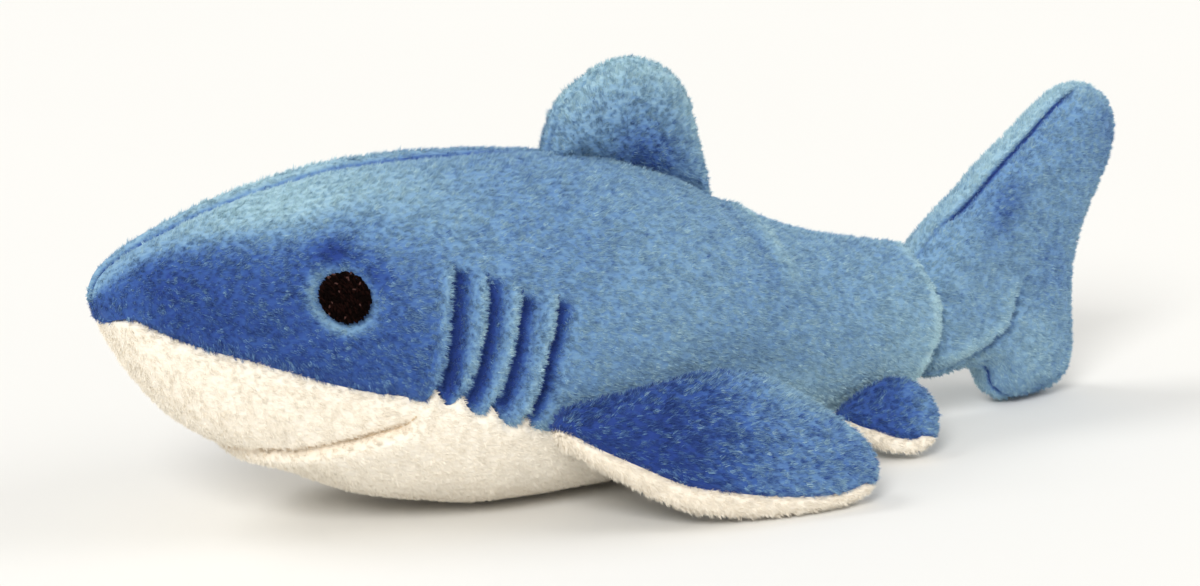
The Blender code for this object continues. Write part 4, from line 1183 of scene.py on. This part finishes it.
def on_cloth(x, phi, lift, belly_side=False):
    x, phi = np.broadcast_arrays(np.asarray(x, float), np.asarray(phi, float))
    p, n, _ = (belly_point if belly_side else back_point)(x, phi)
    return p + lift * n


for word, side in (("left", 1.0), ("right", -1.0)):
    for k, path in enumerate(GILLS):
        line = smooth_path(path, 60)
        paths = []
        for j in range(12):      # back stitches, each a little apart
            part = line[j * 5:j * 5 + 5]
            at = np.linspace(0, len(part) - 1, 7)
            xs, ps = (np.interp(at, np.arange(len(part)), part[:, c]) for c in (0, 1))
            paths.append(on_cloth(xs, side * ps, 0.25))
        obj = tubes("gill_thread_%s_%d" % (word, k + 1), paths, 0.28, [blue_thread])
        keep_piece(obj, "body", nodes=("gill_stitch_%s_%d" % (word, k + 1),))

line = smooth_path(MOUTH, 70)
full = np.concatenate([line[:-1], np.stack([line[::-1, 0], 2 * np.pi - line[::-1, 1]], 1)])
paths = []
for j in range(0, len(full) - 5, 5):
    part = full[j:j + 5]
    at = np.linspace(0, 4, 7)
    xs, ps = (np.interp(at, np.arange(5), part[:, c]) for c in (0, 1))
    paths.append(on_cloth(xs, ps, 0.15, True))
keep_piece(tubes("mouth_thread", paths, 0.26, [tan_thread]), "body", nodes=("mouth_stitch",))


# ---- eyes: satin stitches worked over a round pad ----
def eye_point(a, b, side, lift):
    x0, phi0 = EYE_AT
    per = np.linalg.norm(body(x0, phi0 + 0.01) - body(x0, phi0 - 0.01)) / 0.02
    stretch = np.linalg.norm(body(x0 + 0.1, phi0) - body(x0 - 0.1, phi0)) / 0.2
    x, phi = x0 + np.asarray(a) / stretch, side * (phi0 + np.asarray(b) / per)
    return body(x, phi) + np.asarray(lift)[..., None] * body_normal(x, phi)


for word, side in (("left", 1.0), ("right", -1.0)):
    rng = np.random.default_rng(77)
    rr, aa = np.meshgrid(np.linspace(0.02, 1.0, 9), np.linspace(0, 2 * np.pi, 40, endpoint=False), indexing="ij")
    rag = EYE_R * 0.96 * (1 + 0.03 * np.sin(aa * 9) + 0.02 * np.sin(aa * 17 + 1))
    a, b = rr * rag * np.cos(aa), rr * rag * np.sin(aa)
    v = eye_point(a, b, side, -0.1 + 0.55 * (1 - rr ** 2) - 1.6 * (rr > 0.95))
    flat = v.reshape(-1, 3)
    nrm = np.repeat(body_normal(EYE_AT[0], side * EYE_AT[1])[None], len(flat), 0)
    f = outward(flat, grid_faces(9, 40, True), nrm)
    pad = new_object("eye_pad_" + word, flat, f, [eye_dark])
    keep_piece(pad, "body")
    paths, ups, index = [], [], []
    turn = math.radians(62)
    u, w = np.array([math.cos(turn), math.sin(turn)]), np.array([-math.sin(turn), math.cos(turn)])
    across = -EYE_R
    while across < EYE_R:
        reach = math.sqrt(max(EYE_R ** 2 - across ** 2, 0.0))
        at = -reach + rng.uniform(-0.3, 0.3)
        while at < reach - 0.4:
            size = rng.uniform(1.1, 2.4)
            end = min(at + size, reach + rng.uniform(-0.15, 0.45))
            kind = int(rng.choice(3, p=(0.60, 0.33, 0.07)))
            if kind == 2:
                end = at + 0.8
            drift = rng.uniform(-0.6, 0.6) * (3.0 if kind == 2 else 1.0)
            s = np.linspace(0, 1, 6)
            la, lb = at + (end - at) * s, across + drift * (s - 0.5)
            a, b = la * u[0] + lb * w[0], la * u[1] + lb * w[1]
            r = np.hypot(a, b) / EYE_R
            lift = 0.05 + 0.55 * np.clip(1 - r ** 2, 0, 1) + 0.32 * np.sin(math.pi * s)
            paths.append(eye_point(a, b, side, lift))
            ups.append(body_normal(EYE_AT[0], side * EYE_AT[1]))
            index.append(kind)
            at = end - 0.25
        across += rng.uniform(0.30, 0.42)
    eye = tubes("eye_stitches_" + word, paths, 0.25, [eye_dark, eye_brown, eye_light], index, 6, 0.8, ups)
    keep_piece(eye, "body", nodes=("eye_" + word,))


# ---- the filling inside ----
def filling(name, x_from, x_to, across, nodes, seed):
    rows, cols = 40, 48
    x = np.linspace(x_from, x_to, rows)
    phi = np.linspace(0, 2 * np.pi, cols, endpoint=False)
    xx, pp = np.meshgrid(x, phi, indexing="ij")
    v = body(xx, pp) - 5.2 * body_normal(xx, pp)
    v = v + 0.5 * noise(v, 5.0, seed)[..., None] * body_normal(xx, pp)
    v[..., 2] = np.maximum(v[..., 2], 3.2)
    flat = v.reshape(-1, 3)
    f = grid_faces(rows, cols, True)
    f = outward(flat, f, body_normal(xx, pp).reshape(-1, 3))
    ends = []
    n0 = len(flat)
    flat = np.concatenate([flat, v[0].mean(0)[None] - [[0.5, 0, 0]], v[-1].mean(0)[None] + [[0.5, 0, 0]]])
    j = np.arange(cols)
    k = (j + 1) % cols
    cap0 = np.stack([np.full(cols, n0), j, k, np.full(cols, n0)], 1)
    obj = new_object(name, flat, np.concatenate([f]), [fibre_fill], floats=(("shade", np.full(len(flat), 0.6)),))
    bm = bmesh.new()
    bm.from_mesh(obj.data)
    bmesh.ops.delete(bm, geom=[p for p in bm.verts if not p.link_faces], context="VERTS")
    bmesh.ops.holes_fill(bm, edges=[e for e in bm.edges if e.is_boundary], sides=0)
    bm.to_mesh(obj.data)
    bm.free()
    keep_piece(obj, across=across, nodes=nodes)


filling("body_filling", -99.0, 124.0, BEND_FRONT, ("body_stuffing",), 7)
filling("stock_filling", 124.6, 140.0, BEND_REAR, ("tail_stuffing",), 8)
for node in ("caudal_stuffing", "dorsal_stuffing", "pectoral_left_stuffing", "pectoral_right_stuffing", "pelvic_left_stuffing", "pelvic_right_stuffing"):
    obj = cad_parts[node]
    for k in range(max(1, len(obj.material_slots))):
        if obj.material_slots:
            obj.material_slots[k].material = fibre_fill
        else:
            obj.data.materials.append(fibre_fill)


# ---- floor, light and camera ----
def floor_material():
    m, b = principled("floor_paper", 0.85, 0.0, (1, 1, 1), 0.5, 0.2)
    t = m.node_tree
    n, l = t.nodes, t.links
    tc, ns, ramp = n.new("ShaderNodeTexCoord"), n.new("ShaderNodeTexNoise"), n.new("ShaderNodeValToRGB")
    ns.inputs["Scale"].default_value = 3.0
    ramp.color_ramp.elements[0].color = (0.820, 0.813, 0.790, 1)
    ramp.color_ramp.elements[1].color = (0.835, 0.828, 0.805, 1)
    l.new(tc.outputs["Object"], ns.inputs["Vector"])
    l.new(ns.outputs["Fac"], ramp.inputs["Fac"])
    l.new(ramp.outputs["Color"], b.inputs["Base Color"])
    return m


floor = new_object("studio_floor", [(-9000, -9000, 0), (9000, -9000, 0), (9000, 9000, 0), (-9000, 9000, 0)], [(0, 1, 2, 3)], [floor_material()])

world = bpy.data.worlds.new("studio") if bpy.context.scene.world is None else bpy.context.scene.world
bpy.context.scene.world = world
world.use_nodes = True
bg = world.node_tree.nodes.get("Background") or world.node_tree.nodes.new("ShaderNodeBackground")
bg.inputs["Color"].default_value = (1.0, 0.99, 0.965, 1)
bg.inputs["Strength"].default_value = WORLD_STRENGTH


def distant(name, from_way, strength, spread, colour):
    """A broad far-off panel, so that the floor is lit evenly a long way back."""
    light = bpy.data.lights.new(name, "SUN")
    light.energy = strength
    light.angle = math.radians(spread)
    light.color = colour
    obj = bpy.data.objects.new(name, light)
    bpy.context.collection.objects.link(obj)
    obj.location = from_way
    obj.rotation_euler = Vector(from_way).to_track_quat("Z", "Y").to_euler()
    return obj


T = Vector((0.045, 0.0, 0.0505))
distant("key", (-1.7, -1.8, 1.75), KEY, 22, (1.0, 0.995, 0.98))
distant("side", (1.9, -1.2, 1.6), SIDE, 30, (1.0, 1.0, 1.0))
distant("back", (-1.5, 0.95, 2.2), BACK, 24, (1.0, 0.995, 0.98))

az, el, far = math.radians(-30), math.radians(13.2), 0.95
cam_data = bpy.data.cameras.new("camera")
cam_data.sensor_width, cam_data.sensor_fit, cam_data.lens = 36.0, "HORIZONTAL", 102.6
cam = bpy.data.objects.new("camera", cam_data)
bpy.context.collection.objects.link(cam)
cam.location = T + far * Vector((math.sin(az) * math.cos(el), -math.cos(az) * math.cos(el), math.sin(el)))
cam.rotation_euler = (T - cam.location).to_track_quat("-Z", "Y").to_euler()
bpy.context.scene.camera = cam
bpy.context.scene.view_settings.view_transform = "Standard"
bpy.context.scene.view_settings.look = "None"
